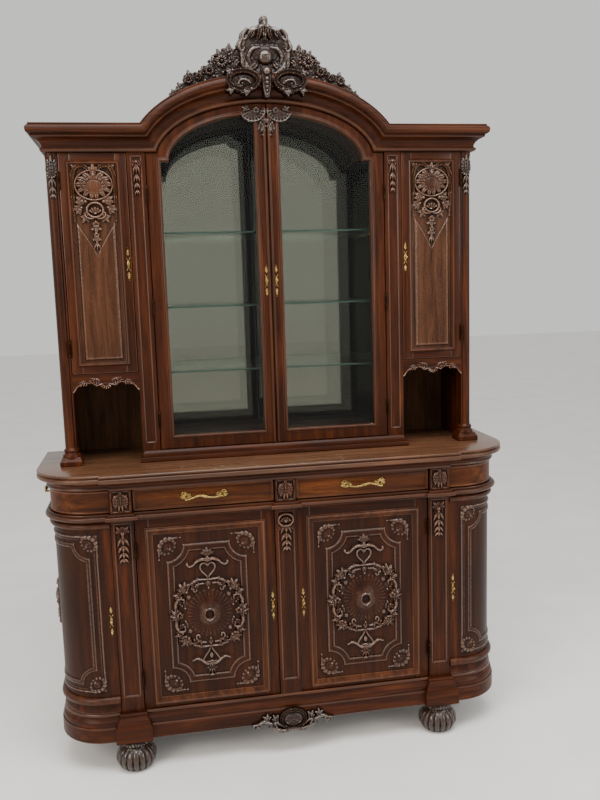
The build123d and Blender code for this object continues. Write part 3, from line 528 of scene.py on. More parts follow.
class Carving:
    """Height field in millimetres over a panel."""

    def __init__(self, x0, x1, z0, z1, step):
        self.step = step
        self.x = np.linspace(x0, x1, int(round((x1 - x0) / step)) + 1)
        self.z = np.linspace(z0, z1, int(round((z1 - z0) / step)) + 1)
        self.height = np.zeros((len(self.z), len(self.x)))

    def window(self, line, margin):
        """Rows and columns near a line, with their coordinates."""
        line = np.array(line, float).reshape(-1, 2)
        low, high = line.min(0) - margin, line.max(0) + margin
        columns = slice(*np.searchsorted(self.x, (low[0], high[0])))
        rows = slice(*np.searchsorted(self.z, (low[1], high[1])))
        return rows, columns, *np.meshgrid(self.x[columns], self.z[rows])

    def lift(self, rows, columns, values):
        """Raises part of the field where the values stand higher."""
        part = self.height[rows, columns]
        np.maximum(part, values, out=part)

    def stroke(self, points, widths, heights, form="round"):
        """Raised stroke with changing half width and height, round or with a hollow face."""
        line = flowing(points)
        t = np.linspace(0, 1, len(line))
        w = np.interp(t, np.linspace(0, 1, len(widths)), np.maximum(widths, 0.4))
        h = np.interp(t, np.linspace(0, 1, len(heights)), heights)
        rows, columns, x, z = self.window(line, w.max())
        if not x.size:
            return
        near = np.hypot(x[..., None] - line[:, 0], z[..., None] - line[:, 1]) / w
        if form == "round":
            self.lift(rows, columns, (np.sqrt(np.clip(1 - near ** 2, 0, 1)) * h).max(-1))
            return
        u, place = near.min(-1), near.argmin(-1)
        shape = np.where(u < 0.72, 0.45 + 0.55 * (u / 0.72) ** 2, (1 - u) / 0.28)
        self.lift(rows, columns, np.clip(shape, 0, 1) * h[place] * (u < 1))

    def cut(self, points, width, depth):
        """Gouge mark along a line."""
        line = flowing(points)
        rows, columns, x, z = self.window(line, width * 2)
        if not x.size:
            return
        near = np.hypot(x[..., None] - line[:, 0], z[..., None] - line[:, 1]).min(-1)
        part = self.height[rows, columns]
        part -= np.minimum(depth * np.exp(-(near / width) ** 2), part * 0.7)

    def dome(self, x0, z0, rx, rz, height, base=0.0):
        """Oval boss, on a plain step if it has a base."""
        rows, columns, x, z = self.window((x0, z0), max(rx, rz))
        u = ((x - x0) / rx) ** 2 + ((z - z0) / rz) ** 2
        self.lift(rows, columns, np.where(u < 1, base + height * np.sqrt(np.clip(1 - u, 0, 1)),
                                          0))

    def ring(self, x0, z0, rx, rz, width, height, form="round"):
        """Oval ring."""
        a = np.linspace(0, math.tau, 60)
        self.stroke(np.stack([x0 + rx * np.cos(a), z0 + rz * np.sin(a)], 1), [width], [height],
                    form)

    def fan(self, x0, z0, radius, start, stop, ribs, height, core=0.25, lip=0.14, squash=1.0):
        """Shell: ribs that spread from a hinge to a scalloped edge."""
        rows, columns, x, z = self.window((x0, z0), radius * 1.1)
        dx, dz = x - x0, (z - z0) / squash
        r = np.hypot(dx, dz) / radius
        middle = (start + stop) / 2
        a = (np.degrees(np.arctan2(dz, dx)) - middle + 180) % 360 - 180
        reach = (stop - start) / 2
        share = (a + reach) / (2 * reach) * ribs
        rib = np.abs(np.sin(math.pi * share))
        edge = 1 - lip * (1 - rib)
        body = (0.45 + 0.55 * np.clip(r, 0, 1) ** 1.3) * (0.55 + 0.45 * rib)
        body = np.where(r < core, 0.75 * np.sqrt(np.clip(1.3 - r / core, 0, 1)), body)
        fall = np.clip((edge - r) / 0.06, 0, 1) ** 0.5
        self.lift(rows, columns, np.where((np.abs(a) < reach) & (r < edge),
                                          height * body * fall, 0))

    def leaf(self, base, tip, width, height, bend=0.0, lobes=3):
        """Acanthus leaf: fingers on both sides of a rib."""
        base, tip = np.array(base, float), np.array(tip, float)
        along = tip - base
        length = np.hypot(*along)
        ahead = along / length
        side = np.array([-ahead[1], ahead[0]])

        def rib(t):
            return base + along * t + side * bend * math.sin(math.pi * t * 0.9)

        for k in range(lobes):
            t = 0.08 + 0.72 * k / lobes
            size = width * (1 - 0.5 * k / lobes)
            for hand in (-1, 1):
                out = side * hand
                points = [rib(t), rib(t) + (out * 0.62 + ahead * 0.35) * size,
                          rib(t) + (out * 0.92 + ahead * 0.95) * size]
                fat = min(0.36 * size, 0.46 * length / lobes)
                self.stroke(points, [fat * 0.7, fat, fat * 0.8],
                            [height * 0.6, height * 0.95, height * 0.7])
        spine = [rib(0), rib(0.35), rib(0.7), rib(1)]
        self.stroke(spine, [width * 0.3, width * 0.34, width * 0.3, width * 0.14],
                    [height * 0.8, height * 1.05, height, height * 0.8])
        self.cut(spine[:3], 0.05 * width + 0.8, height * 0.4)
        for k in range(lobes):
            t = 0.08 + 0.72 * k / lobes
            size = width * (1 - 0.5 * k / lobes)
            for hand in (-1, 1):
                out = side * hand
                self.cut([rib(t), rib(t) + (out * 0.6 + ahead * 0.38) * size,
                          rib(t) + (out * 0.8 + ahead * 0.7) * size], 0.9, height * 0.3)

    def petal(self, base, tip, width, height, bend=0.0):
        """Plain rounded leaf with a groove down the middle."""
        base, tip = np.array(base, float), np.array(tip, float)
        side = np.array([base[1] - tip[1], tip[0] - base[0]]) / np.hypot(*(tip - base))
        line = [base, base * 0.62 + tip * 0.38 + side * bend,
                base * 0.25 + tip * 0.75 + side * bend * 0.8, tip]
        self.stroke(line, [width * 0.45, width, width * 0.85, width * 0.3],
                    [height * 0.65, height, height * 1.02, height * 0.75])
        self.cut(line, 1.1 + 0.06 * width, height * 0.3)
        for hand in (-1, 1):
            self.cut([line[1] + side * hand * width * 0.25, line[2] + side * hand * width * 0.5],
                     1.2, height * 0.16)

    def cluster(self, base, heading, size, height, spread=42, count=3):
        """Petals that fan out from one point, the outer ones lower."""
        for k in range(count):
            share = 2 * k / (count - 1) - 1
            a = math.radians(heading + share * spread)
            reach = size * (1 - 0.22 * abs(share))
            tip = (base[0] + reach * math.cos(a), base[1] + reach * math.sin(a))
            self.petal(base, tip, size * 0.27, height * (1 - 0.18 * abs(share)),
                       -share * size * 0.12)
        self.dome(*base, size * 0.2, size * 0.2, height * 1.1)

    def scroll(self, start, heading, length, bends, width, height, form="hollow"):
        """Scroll arm that narrows to an eye at its end."""
        line = winding(start, heading, length, bends)
        self.stroke(line[:: max(1, len(line) // 24)], [width * 0.8, width, width * 0.7],
                    [height * 0.8, height, height * 0.9], form)
        self.dome(*line[-1], width * 0.95, width * 0.95, height * 1.15)

    def flower(self, x0, z0, radius, height, petals=5):
        """Round petals about a bud."""
        for k in range(petals):
            a = math.tau * (k + 0.25) / petals
            self.dome(x0 + radius * 0.55 * math.cos(a), z0 + radius * 0.55 * math.sin(a),
                      radius * 0.46, radius * 0.46, height)
            self.cut([(x0, z0), (x0 + radius * 0.8 * math.cos(a),
                                 z0 + radius * 0.8 * math.sin(a))], 0.9, height * 0.35)
        self.dome(x0, z0, radius * 0.26, radius * 0.26, height * 1.25)

    def husks(self, x0, top, bottom, width, height, count=4):
        """Drop of bellflowers that dwindle downwards."""
        z, share = top, np.linspace(1, 0.55, count)
        share = share / share.sum()
        for part in share:
            size = (top - bottom) * part
            w = width * (0.5 + 0.5 * part / share[0])
            for lean in (-0.75, 0.75, 0):
                self.stroke([(x0, z), (x0 + lean * w * 0.8, z - size * 0.5),
                             (x0 + lean * w * 1.15, z - size * 0.98)],
                            [w * 0.2, w * 0.32, w * 0.1],
                            [height * 0.7, height * (1.0 if lean else 1.15), height * 0.6])
            self.dome(x0, z - size * 0.04, w * 0.2, w * 0.2, height * 1.1)
            z -= size

    def grain(self, amount, seed):
        """Small unevenness left by the gouge."""
        noise = np.random.default_rng(seed).standard_normal(self.height.shape)
        noise = blurred(noise, max(1, int(2.2 / self.step)))
        self.height += np.where(self.height > 0.4, noise / noise.std() * amount, 0)

    def both_sides(self):
        """The right half repeated on the left."""
        self.height = np.maximum(self.height, self.height[:, ::-1])

    def tone(self):
        """Tone from -1 to 1, high on what stands proud and low in what lies low; the oak paints it as
        wear with a painted highlight and as wax with painted shade.
        """
        fine = self.height - blurred(self.height, max(1, int(3 / self.step)))
        wide = self.height - blurred(self.height, max(2, int(9 / self.step)))
        broad = self.height - blurred(self.height, max(2, int(22 / self.step)))
        # broad swellings such as domes get extra tone, which paints a highlight on them and glosses
        # them
        return np.clip(fine * 0.42 + wide * 0.10 + np.clip(broad - 2, 0, 7) * 0.06, -1, 1)


def add_tone(made, values):
    """Stores a tone value at each point of a mesh."""
    data = made.data.attributes.new("tone", "FLOAT", "POINT")
    data.data.foreach_set("value", np.asarray(values, np.float32))
    return made


def plain_tone(made):
    """Zero tone: neither wear nor wax, and no painted highlight or painted shade."""
    return add_tone(made, np.zeros(len(made.data.vertices)))


def full_turn(count):
    """Evenly spread angles of a whole turn."""
    return np.linspace(0, math.tau, count, endpoint=False)


def carved_board(name, carving, place, back):
    """Board whose face is the carving: place(x, z, height) gives a point in millimetres."""
    rows, columns = carving.height.shape
    face_points = [place(x, z, h) for z, line in zip(carving.z, carving.height)
                   for x, h in zip(carving.x, line)]
    rear = [place(x, z, -back) for z in (carving.z[0], carving.z[-1]) for x in carving.x]
    first, last = rows * columns, rows * columns + columns
    top = (rows - 1) * columns
    faces = [(r + c, r + c + 1, r + columns + c + 1, r + columns + c)
             for r in range(0, top, columns) for c in range(columns - 1)]
    for c in range(columns - 1):
        faces.append((first + c, last + c, last + c + 1, first + c + 1))
        faces.append((c, first + c, first + c + 1, c + 1))
        faces.append((top + c, top + c + 1, last + c + 1, last + c))
    for c in (0, columns - 1):
        faces.append([r * columns + c for r in range(rows)] + [last + c, first + c])
    made = from_points(name, face_points + rear, faces)
    return add_tone(made, np.concatenate([carving.tone().ravel(), np.zeros(2 * columns)]))


def carved_piece(name, carving, place, sunk=1.0, back=2.0):
    """Separate carving set on a board: only what stands up is kept, its foot let in."""
    height = carving.height
    solid = height > 0.05
    cells = solid[:-1, :-1] | solid[1:, :-1] | solid[:-1, 1:] | solid[1:, 1:]
    used = np.zeros_like(solid)
    for r, c in ((0, 0), (1, 0), (0, 1), (1, 1)):
        used[r:r + cells.shape[0], c:c + cells.shape[1]] |= cells
    number = np.cumsum(used).reshape(used.shape) - 1
    total = int(used.sum())
    rr, cc = np.nonzero(used)
    points = [place(carving.x[c], carving.z[r], height[r, c] - sunk) for r, c in zip(rr, cc)]
    points += [place(carving.x[c], carving.z[r], -back) for r, c in zip(rr, cc)]
    faces = []
    edges = {}
    for r, c in zip(*np.nonzero(cells)):
        ring = [number[r, c], number[r, c + 1], number[r + 1, c + 1], number[r + 1, c]]
        faces.append(ring)
        faces.append([i + total for i in reversed(ring)])
        for a, b in zip(ring, ring[1:] + ring[:1]):
            if (b, a) in edges:
                del edges[(b, a)]
            else:
                edges[(a, b)] = True
    faces += [(b, a, a + total, b + total) for a, b in edges]
    made = from_points(name, points, faces)
    tone = carving.tone()[rr, cc]
    return add_tone(made, np.concatenate([tone, tone]))


def on_front(y, side=1):
    """Places a carving on a face that looks forward."""
    return lambda x, z, h: (side * x, y - h, z)


# %% [markdown]
# ## The room
# The camera stands a little to the left and looks slightly down. The light comes from two large soft
# windows in front and from the ceiling, so that the wax shows long soft highlights.

# %% Camera, floor and light
def studio_light(name, place, aim, size, power, colour="#ffffff"):
    """Large soft area light that looks at a point."""
    data = bpy.data.lights.new(name, "AREA")
    data.shape = "RECTANGLE"
    data.size, data.size_y = size
    data.energy = power
    data.color = linear(colour)[:3]
    lamp = bpy.data.objects.new(name, data)
    bpy.context.scene.collection.objects.link(lamp)
    lamp.location = place
    lamp.rotation_euler = (Vector(aim) - Vector(place)).to_track_quat("-Z", "Y").to_euler()
    return lamp


# turned a little to the right and down, and held slightly askew, in radians
yaw, pitch, roll = 0.1734262, -0.14079445, -0.03027477
ahead = Vector((math.sin(yaw) * math.cos(pitch), math.cos(yaw) * math.cos(pitch),
                math.sin(pitch)))
sideways = Vector((math.cos(yaw), -math.sin(yaw), 0))
upright = sideways.cross(ahead)
image_x = math.cos(roll) * sideways + math.sin(roll) * upright
image_y = -math.sin(roll) * sideways + math.cos(roll) * upright
stand = Matrix((image_x, image_y, -ahead)).transposed().to_4x4()
stand.translation = Vector((-0.4207, -2.9543, 1.6853))
lens = bpy.data.cameras.new("camera")
lens.sensor_fit = "VERTICAL"
lens.sensor_height = 36
lens.lens = 1.025625 * lens.sensor_height
camera = bpy.data.objects.new("camera", lens)
bpy.context.scene.collection.objects.link(camera)
camera.matrix_world = stand
bpy.context.scene.camera = camera

bpy.ops.object.select_all(action="DESELECT")
bpy.ops.mesh.primitive_plane_add(size=40, location=(0, 0, 0))
floor = bpy.context.object
floor.name = "studio_floor"
floor_paint, tree, shader = finish("pale studio floor", "carved_oak")
dust = add(tree, "TexNoise", {"Vector": add(tree, "TexCoord").outputs["Object"], "Scale": 3})
tree.links.new(ramp(tree, dust.outputs["Fac"], (0.3, "#eceae7"), (0.7, "#f3f1ee")),
               shader.inputs["Base Color"])
shader.inputs["Roughness"].default_value = 0.85
floor.data.materials.append(floor_paint)

world = bpy.data.worlds.new("pale room")
bpy.context.scene.world = world
world.use_nodes = True
world.node_tree.nodes["Background"].inputs["Color"].default_value = linear("#eeeeec")
world.node_tree.nodes["Background"].inputs["Strength"].default_value = 0.95
studio_light("window left", (-3.6, -3.2, 3.0), (0, 0, 1.2), (2.0, 2.2), 130, "#fff2e2")
studio_light("window right", (3.4, -2.8, 2.4), (0, 0, 1.1), (1.6, 2.2), 70, "#fbf8f4")
studio_light("ceiling", (0, -1.6, 4.4), (0, 0, 0.8), (3.0, 1.6), 150)
print("camera at", [round(v, 3) for v in camera.location])


# %% [markdown]
# ## Boards of the carcass
# Inside boards and boards that only show an edge keep their CAD shape, because it is right, and get
# their wood. The boards that are seen are made anew with eased edges: an edge that hands have touched
# for a century is never sharp, and it catches a thin line of light. The narrow eased faces are also
# painted lighter, for wear and a painted highlight.

# %% Woods and brass on the CAD sub-parts
def paint(node, material):
    """Gives a CAD sub-part its material."""
    nodes[node].data.materials.clear()
    nodes[node].data.materials.append(material)


by_slot = {"carved_oak": oak_up, "plain_oak": inside_oak, "back_board": back_wood,
           "brass": brass, "door_glass": pane_glass, "shelf_glass": shelf_glass,
           "mirror": mirror_silver}
entries = frame["record"]["subparts"]
slots = {entry["node"]: entry["material_slot"] for entry in entries}
for name in nodes:
    paint(name, by_slot[slots.get(name, "carved_oak")])
for name in ("plinth_frame", "plinth_blocks", "waist_moulding", "upper_plinth", "cornice",
             "apron_carving"):
    paint(name, oak_across)
paint("base_top", oak_top)
paint("base_shelves", inside_oak)
print("slots", sorted(set(slots.values())))


# %% [markdown]
# ## Mouldings of the base
# Each moulding is one profile that follows the outline of the base: round the ends and forward round
# the blocks. The profile is given as (distance out, height), drawn as a closed polygon.

# %% Lines that the base mouldings follow
def round_corner(out, side, steps=18):
    """Points round one front corner of the base, from the front to the side."""
    return [(side * (corner_x + (corner_radius + out) * math.cos(a)),
             corner_y + (corner_radius + out) * math.sin(a))
            for a in np.linspace(-math.pi / 2, 0, steps)]


def end_line(start, stop_y, side, steps=18):
    """Line along one curved end, from x = start on the front to stop_y on the side."""
    def line(out, up):
        plan = [(side * start, face - out), *round_corner(out, side, steps),
                (side * (half + out), stop_y)]
        return [(x, y, up) for x, y in plan]
    return line


def whole_front(breaks):
    """Line round the whole base. Each forward break is (middle, half width, step forward, and the
    out at which it has that half width)."""
    def line(out, up):
        plan = [(-half - out, back), *reversed(round_corner(out, -1))]
        for middle, reach, forward, full in breaks:
            width = reach - full + out
            y = face - out
            plan += [(middle - width, y), (middle - width, y - forward),
                     (middle + width, y - forward), (middle + width, y)]
        plan += [*round_corner(out, 1), (half + out, back)]
        return [(x, y, up) for x, y in plan]
    return line


def rectangle_rings(name, x, rear, levels):
    """Block with moulded sides from (half width, front, height) levels."""
    rows = [[(x - w, rear, z), (x - w, y, z), (x + w, y, z), (x + w, rear, z)]
            for w, y, z in levels]
    return skin(name, rows, wrap_columns=True)


# %% Plinth
plinth_high = high("plinth_frame")[2]
feet_tall = 116
plinth_profile = [(-8, feet_tall), (16, feet_tall), (20, 120), (20, 166), (19, 170), (15.5, 172),
                  (15.5, 176), (16, 182), (14, 190), (9, 197), (6.5, 203), (7, 207),
                  (9, 210), (9, 214), (6, 218), (-8, 218)]
cap_half = 46
block_edge = pilaster_x - cap_half
strips = [run("plinth", plinth_profile,
              lambda out, up: [(-block_edge, face - out, up), (block_edge, face - out, up)])]
strips += [run("plinth", plinth_profile, end_line(pilaster_x + cap_half, back, side))
           for _, side in SIDES]
strips.append(plain_boards("plinth", [(-half + 14, half - 14, back - 30, back - 1, feet_tall,
                                      217)]))
dress(joined("plinth_boards", strips), oak_across, "cabinet", ["plinth_frame"])

block_levels = [(60, -222, feet_tall), (plinth_block_half, -225, 119),
                (plinth_block_half, -225, 170), (62, -224, 173),
                (57.5, -219, 175), (56, -218, 179), (57, -219, 184), (55, -217, 190),
                (50, -212, 197), (46.5, -207.5, 202), (46, -206, 207), (48, -208, 211),
                (47.5, -207.5, 215), (45, -205, 218)]
plinth_back = high("plinth_blocks")[1]
blocks = [rectangle_rings("block", side * pilaster_x, plinth_back, block_levels)
          for _, side in SIDES]
dress(joined("plinth_corner_blocks", blocks), oak_across, "cabinet", ["plinth_blocks"], 30)
print("plinth up to", round(plinth_high, 1))

# %% Waist moulding, cove and top
waist_profile = [(-22, 908), (11, 908), (13, 911), (17, 912), (23, 914), (27, 918), (28, 922),
                 (27, 926), (24, 929), (19, 930), (17, 932), (16, 936), (-22, 936)]
pilaster_places = (-pilaster_x, 0, pilaster_x)
waist_breaks = [(x, 54.5, 16, 28) for x in pilaster_places]
dress(run("waist_ledge", waist_profile, whole_front(waist_breaks)), oak_across, "cabinet",
      ["waist_moulding"])

break_reach = 628
top_breaks = [(0, break_reach, 18, 48)]
cove_profile = [(-22, 1018), (13, 1018), (16, 1020), (18, 1024), (17, 1028), (16, 1030),
                (18, 1036), (23, 1041), (30, 1045), (34, 1047), (34, 1050.5), (-22, 1050.5)]
cove = run("cove_under_top", cove_profile, whole_front(top_breaks))
dress(cove, oak_across, "cabinet", ["base_top"])
edge_profile = [(8, 1050), (42, 1050), (46, 1051.5), (48, 1055), (48, 1060), (46, 1063.5),
                (43.5, 1065), (43, 1067), (45, 1068.5), (47, 1071), (47, 1074), (45, 1077),
                (41, table_z)]
top = skin("top_board", [whole_front(top_breaks)(out, up) for out, up in edge_profile],
           wrap_columns=True)
run_wear_and_painted_light(top, [(-22, 1050), *edge_profile[1:-1], (-22, table_z)], len(top.data.vertices)
        // len(edge_profile))
dress(top, oak_top, "cabinet", angle=30)
print("top board width", round((high("base_top") - low("base_top"))[0]))


# %% [markdown]
# ## Doors, drawers and pilasters of the base
# Frame-and-panel work. A bold bolection moulding covers the joint between frame and panel. Its line
# is a rectangle, so its four corners are mitres.

# %% Rectangular mouldings
def rectangle_line(x0, x1, z0, z1, y, side=1):
    """Closed line: out is away from the middle, up is towards the front."""
    def line(out, up):
        a, b = x0 - out, x1 + out
        c, d = z0 - out, z1 + out
        return [(side * a, y - up, c), (side * b, y - up, c), (side * b, y - up, d),
                (side * a, y - up, d)]
    return line


def side_boards(name, side, boxes, ease=1.5):
    """Boards given for the right-hand side, made on either side."""
    return plain_boards(name, [(*sorted((side * x0, side * x1)), *rest)
                               for x0, x1, *rest in boxes], ease)


def stiles_and_rails(name, side, kind, box, widths, stands_for):
    """Frame of a door between (x0, x1, front, rear, z0, z1), with its (stile, lower, upper) widths."""
    x0, x1, front, rear, z0, z1 = box
    stile, lower, upper = widths
    body = f"door_{kind}_{name}"
    uprights = side_boards(f"{name}_{kind}_door_stiles", side, [
        (x0, x0 + stile, front, rear, z0, z1), (x1 - stile, x1, front, rear, z0, z1)])
    dress(uprights, oak_up, body, stands_for)
    rails = side_boards(f"{name}_{kind}_door_rails", side, [
        (x0 + stile, x1 - stile, front, rear, z0, z0 + lower),
        (x0 + stile, x1 - stile, front, rear, z1 - upper, z1)])
    dress(rails, oak_across, body)


bolection = [(0, -1), (0, 2.5), (-1, 4.2), (-3, 5), (-4, 7.6), (-6, 9.6),
             (-8.5, 10), (-10.5, 9.2), (-11.5, 7.8), (-12.6, 7.1), (-22, 0.9), (-23.2, 0.2),
             (-24.5, 0), (-26, -1), (-26, -4.2), (-12.8, -4.2), (-12.8, -1)]
door_x0, _, door_z0 = low("right_base_door_frame")
door_x1, door_back, door_z1 = high("right_base_door_frame")
stile, low_rail = 45, 23
for name, side in SIDES:
    stiles_and_rails(name, side, "base", (door_x0, door_x1, face, door_back, door_z0, door_z1),
                     (stile, low_rail, stile), [name + "_base_door_frame"])
    frame_run = run(name + "_base_door_moulding", bolection,
                    rectangle_line(door_x0 + 32, door_x1 - 32, door_z0 + 10, door_z1 - 32, face,
                                   side), True)
    # the bolection is painted lighter than its frame, for the light that falls on it
    dress(frame_run, lit_oak_moulding, "door_base_" + name)
print("base door", round(door_x1 - door_x0), "by", round(door_z1 - door_z0))

# %% Drawers
bead = [(0, -1), (0, 1), (-1, 2), (-2.5, 2.6), (-4, 2.2), (-5, 1), (-5.5, 0.6), (-8, 0.4),
        (-8, -1)]
drawer_low, drawer_high = low("right_base_drawer"), high("right_base_drawer")
wall, bottom = 12, 6
for name, side in SIDES:
    (x0, y0, z0), (x1, y1, z1) = drawer_low, drawer_high
    front_back = y0 + 20
    left, right = x0 + 5, x1 - 5
    box_low, box_high = z0 + 0.5, z1 - 10
    front = side_boards("front", side, [(x0, x1, y0 + 2.6, front_back, z0, z1)], 1.0)
    ring = run("ring", bead, rectangle_line(x0 + 0.5, x1 - 0.5, z0 + 0.5, z1 - 0.5,
                                            y0 + 2.6, side), True)
    field = side_boards("field", side,
                        [(x0 + 13, x1 - 13, y0 + 1.2, y0 + 6, z0 + 13, z1 - 13)], 1.2)
    dress(joined(name + "_drawer_front", [front, ring, field]), oak_drawer,
          "drawer_base_" + name, [name + "_base_drawer"])
    sides = side_boards(name + "_drawer_box", side, [
        (left, right, front_back, y1, box_low, box_low + bottom),
        (left, left + wall, front_back, y1, box_low + bottom, box_high),
        (right - wall, right, front_back, y1, box_low + bottom, box_high),
        (left + wall, right - wall, y1 - wall, y1, box_low + bottom, box_high)], 0.8)
    dress(sides, back_wood, "drawer_base_" + name)

for name, side in SIDES:
    x0, _, z0 = low("right_end_drawer")
    _, y1, z1 = high("right_end_drawer")
    profile = [(-11, z0), (6, z0), (8, z0 + 1), (9, z0 + 3), (9, z0 + 6), (7.5, z0 + 8),
               (7.5, z1 - 8), (9, z1 - 6), (9, z1 - 3), (8, z1 - 1), (6, z1), (-11, z1)]
    shell = run(name + "_end_drawer_front", profile, end_line(x0, y1, side))
    dress(shell, oak_drawer, "drawer_end_" + name, [name + "_end_drawer"])
    left, right, rear = x0 + 3, half - 11, y1 - 8
    box_low, box_high = z0 + 0.5, z1 - 10
    box = side_boards(name + "_end_drawer_box", side, [
        (left, right, corner_y, rear, box_low, box_low + bottom),
        (left, left + wall, corner_y + wall, rear - wall, box_low + bottom, box_high),
        (left, right, corner_y, corner_y + wall, box_low + bottom, box_high),
        (left, right, rear - wall, rear, box_low + bottom, box_high)], 0.8)
    dress(box, back_wood, "drawer_end_" + name)
print("drawers", round(drawer_high[0] - drawer_low[0]), "wide")

# %% End doors
end_x0, _, end_z0 = low("right_end_door")
_, end_y1, end_z1 = high("right_end_door")


def half_round(z0, z1, out):
    """Half-round band on a wall."""
    middle, radius = (z0 + z1) / 2, (z1 - z0) / 2
    arc = curve_points((0, middle), radius, -90, 90, 11)
    return [(x * out / radius, z) for x, z in arc] + [(-1, z1), (-1, z0)]


end_wall = [(-24, end_z0), (-1.5, end_z0), (0, end_z0 + 1.5), (0, end_z1 - 1.5), (-1.5, end_z1),
            (-24, end_z1)]
end_base = [(-1, end_z0 + 1), (6, end_z0 + 1), (7, end_z0 + 4), (6, end_z0 + 12),
            (3, end_z0 + 20), (0.5, end_z0 + 28), (-1, end_z0 + 29)]
end_bands = ((end_z1 - 24, end_z1), (end_z0 + 30, end_z0 + 60))
for name, side in SIDES:
    along_wall = end_line(end_x0, end_y1, side, 30)
    along_band = end_line(end_x0 + 1, end_y1 - 1, side, 30)
    parts = [run("wall", end_wall, along_wall)]
    parts += [run("band", half_round(a, b, 15), along_band) for a, b in end_bands]
    parts.append(run("base", end_base, along_band))
    dress(joined(name + "_end_door_wall", parts), oak_up, "door_end_" + name,
          [name + "_end_door"])
print("end door from", end_z0, "to", end_z1)


# %% [markdown]
# ## Upper part
# The cornice is one run that comes along the side, along the front and over the arch. On the arch its
# points lie on ellipses that grow with the height in the profile, so that the moulding keeps its
# width, and where arch and level part meet it is cut on the mitre.

# %% Cornice
def cornice_line(out, up):
    """Points of the cornice for a profile point: out from the wall, up from its lower edge."""
    a, b = arch_a + up, arch_b + up
    start = math.asin((cornice_z - spring_z + up) / b)
    arch = [(a * math.cos(t), spring_z + b * math.sin(t))
            for t in np.linspace(start, math.pi - start, 72)]
    x, y, z = upper_half + out, upper_face - out, cornice_z + up
    right = [(x, back, z), (x, y, z)]
    left = [(-x, y, z), (-x, back, z)]
    return right + [(ax, y, az) for ax, az in arch] + left


cornice_profile = [(-29, 0), (3, 0), (7, 1.5), (11, 5), (12, 9), (10, 13), (6, 15), (5, 18),
                   (6, 24), (10, 31), (17, 38), (26, 43), (34, 46), (36, 48), (36, 53),
                   (38, 55), (43, 57), (48, 61), (50, 67), (50, 73), (48, 79), (44, 83),
                   (41, 84.5), (41, cornice_tall), (-29, cornice_tall)]
dress(run("crown_cornice", cornice_profile, cornice_line), oak_across, "cabinet", ["cornice"])
print("arch", 2 * arch_a, "wide and", round(arch_b), "high")

# %% Upper plinth
plinth_rear = -15
levels = [(487, -72, table_z), (490, -75, 1081), (490, -75, 1092), (488, -73, 1095),
          (483, -65, 1097), (480, -60, 1099), (480.5, -60, 1103), (479, -58, 1108),
          (476, -54, 1112), (476, -52, 1115)]
parts = [rectangle_rings("rings", 0, plinth_rear, levels)]
parts.append(plain_boards("floor", [(-459, 459, plinth_rear, 238, 1097, 1115),
                                    (-459, -440, plinth_rear, 238, table_z, 1097),
                                    (440, 459, plinth_rear, 238, table_z, 1097)], 1))
dress(joined("glazed_part_plinth", parts), oak_across, "cabinet", ["upper_plinth"])
print("upper plinth", 2 * levels[1][0], "wide")

# %% Frame of the glazed doors
glass_low, glass_high = low("right_glass_door_frame"), high("right_glass_door_frame")
gx0, gx1, gz0 = glass_low[0], glass_high[0], glass_low[2]
door_rear = glass_high[1]
sight = (gx0 + 41, gx1 - 48, gz0 + 46)


def door_outlines(count=40):
    """Matching points round the sight opening and round the door."""
    s0, s1, sz = sight
    a, b = 340, 158
    outer_a, outer_b = arch_a - 2, arch_b - 2
    shoulder = cornice_z - 2
    inner = [(s0, sz), (s1, sz), (s1, spring_z)]
    outer = [(gx0, gz0), (gx1, gz0), (gx1, shoulder)]
    t0 = math.asin((shoulder - spring_z) / outer_b)
    for k in range(count + 1):
        share = k / count
        ti = share * math.acos(s0 / a)
        to = t0 + share * (math.acos(gx0 / outer_a) - t0)
        inner.append((a * math.cos(ti), spring_z + b * math.sin(ti)))
        outer.append((outer_a * math.cos(to), spring_z + outer_b * math.sin(to)))
    return np.array(inner), np.array(outer)


inner_line, outer_line = door_outlines()


def grown(points, amount):
    """Closed outline moved outwards by an amount."""
    p = np.array(points)
    before, after = np.roll(p, 1, 0) - p, np.roll(p, -1, 0) - p
    before /= np.hypot(*before.T)[:, None]
    after /= np.hypot(*after.T)[:, None]
    n1 = np.stack([before[:, 1], -before[:, 0]], 1)
    n2 = np.stack([-after[:, 1], after[:, 0]], 1)
    move = -(n1 + n2)
    move /= np.maximum(np.sum(-n1 * move, 1), 0.3)[:, None]
    return p + move * amount


def glass_frame_line(side):
    """Ring between the sight opening (share 0) and the outer edge (share 1)."""
    def line(out, up):
        share, inset = out
        base = inner_line if share == 0 else outer_line
        points = grown(base, inset)
        return [(side * x, upper_face - up, z) for x, z in points]
    return line


sight_bead = [(-0.5, -9), (-0.5, 0), (0.5, 2), (2.5, 3.6), (5, 4.2), (7.5, 3.6), (9, 2),
              (10, 1.8), (13, 1.2), (14, 0), (14, -2), (6, -9)]
for name, side in SIDES:
    thick = upper_face - door_rear
    corners = [((0, 0), 0), ((1, -1.5), 0), ((1, 0), -1.5), ((1, 0), thick + 1.5),
               ((1, -1.5), thick), ((0, 0), thick)]
    ring = skin("ring", [glass_frame_line(side)(out, up) for out, up in corners], True, True)
    plain_tone(ring)
    rows = [[(side * x, upper_face - up, z) for x, z in grown(inner_line, out)]
            for out, up in sight_bead]
    lip = run_wear_and_painted_light(skin("lip", rows, True, True), sight_bead, len(rows[0]))
    dress(joined(name + "_glass_door_wood", [ring, lip]), oak_up, "door_glass_" + name,
          [name + "_glass_door_frame"])
print("sight width", sight[1] - sight[0])

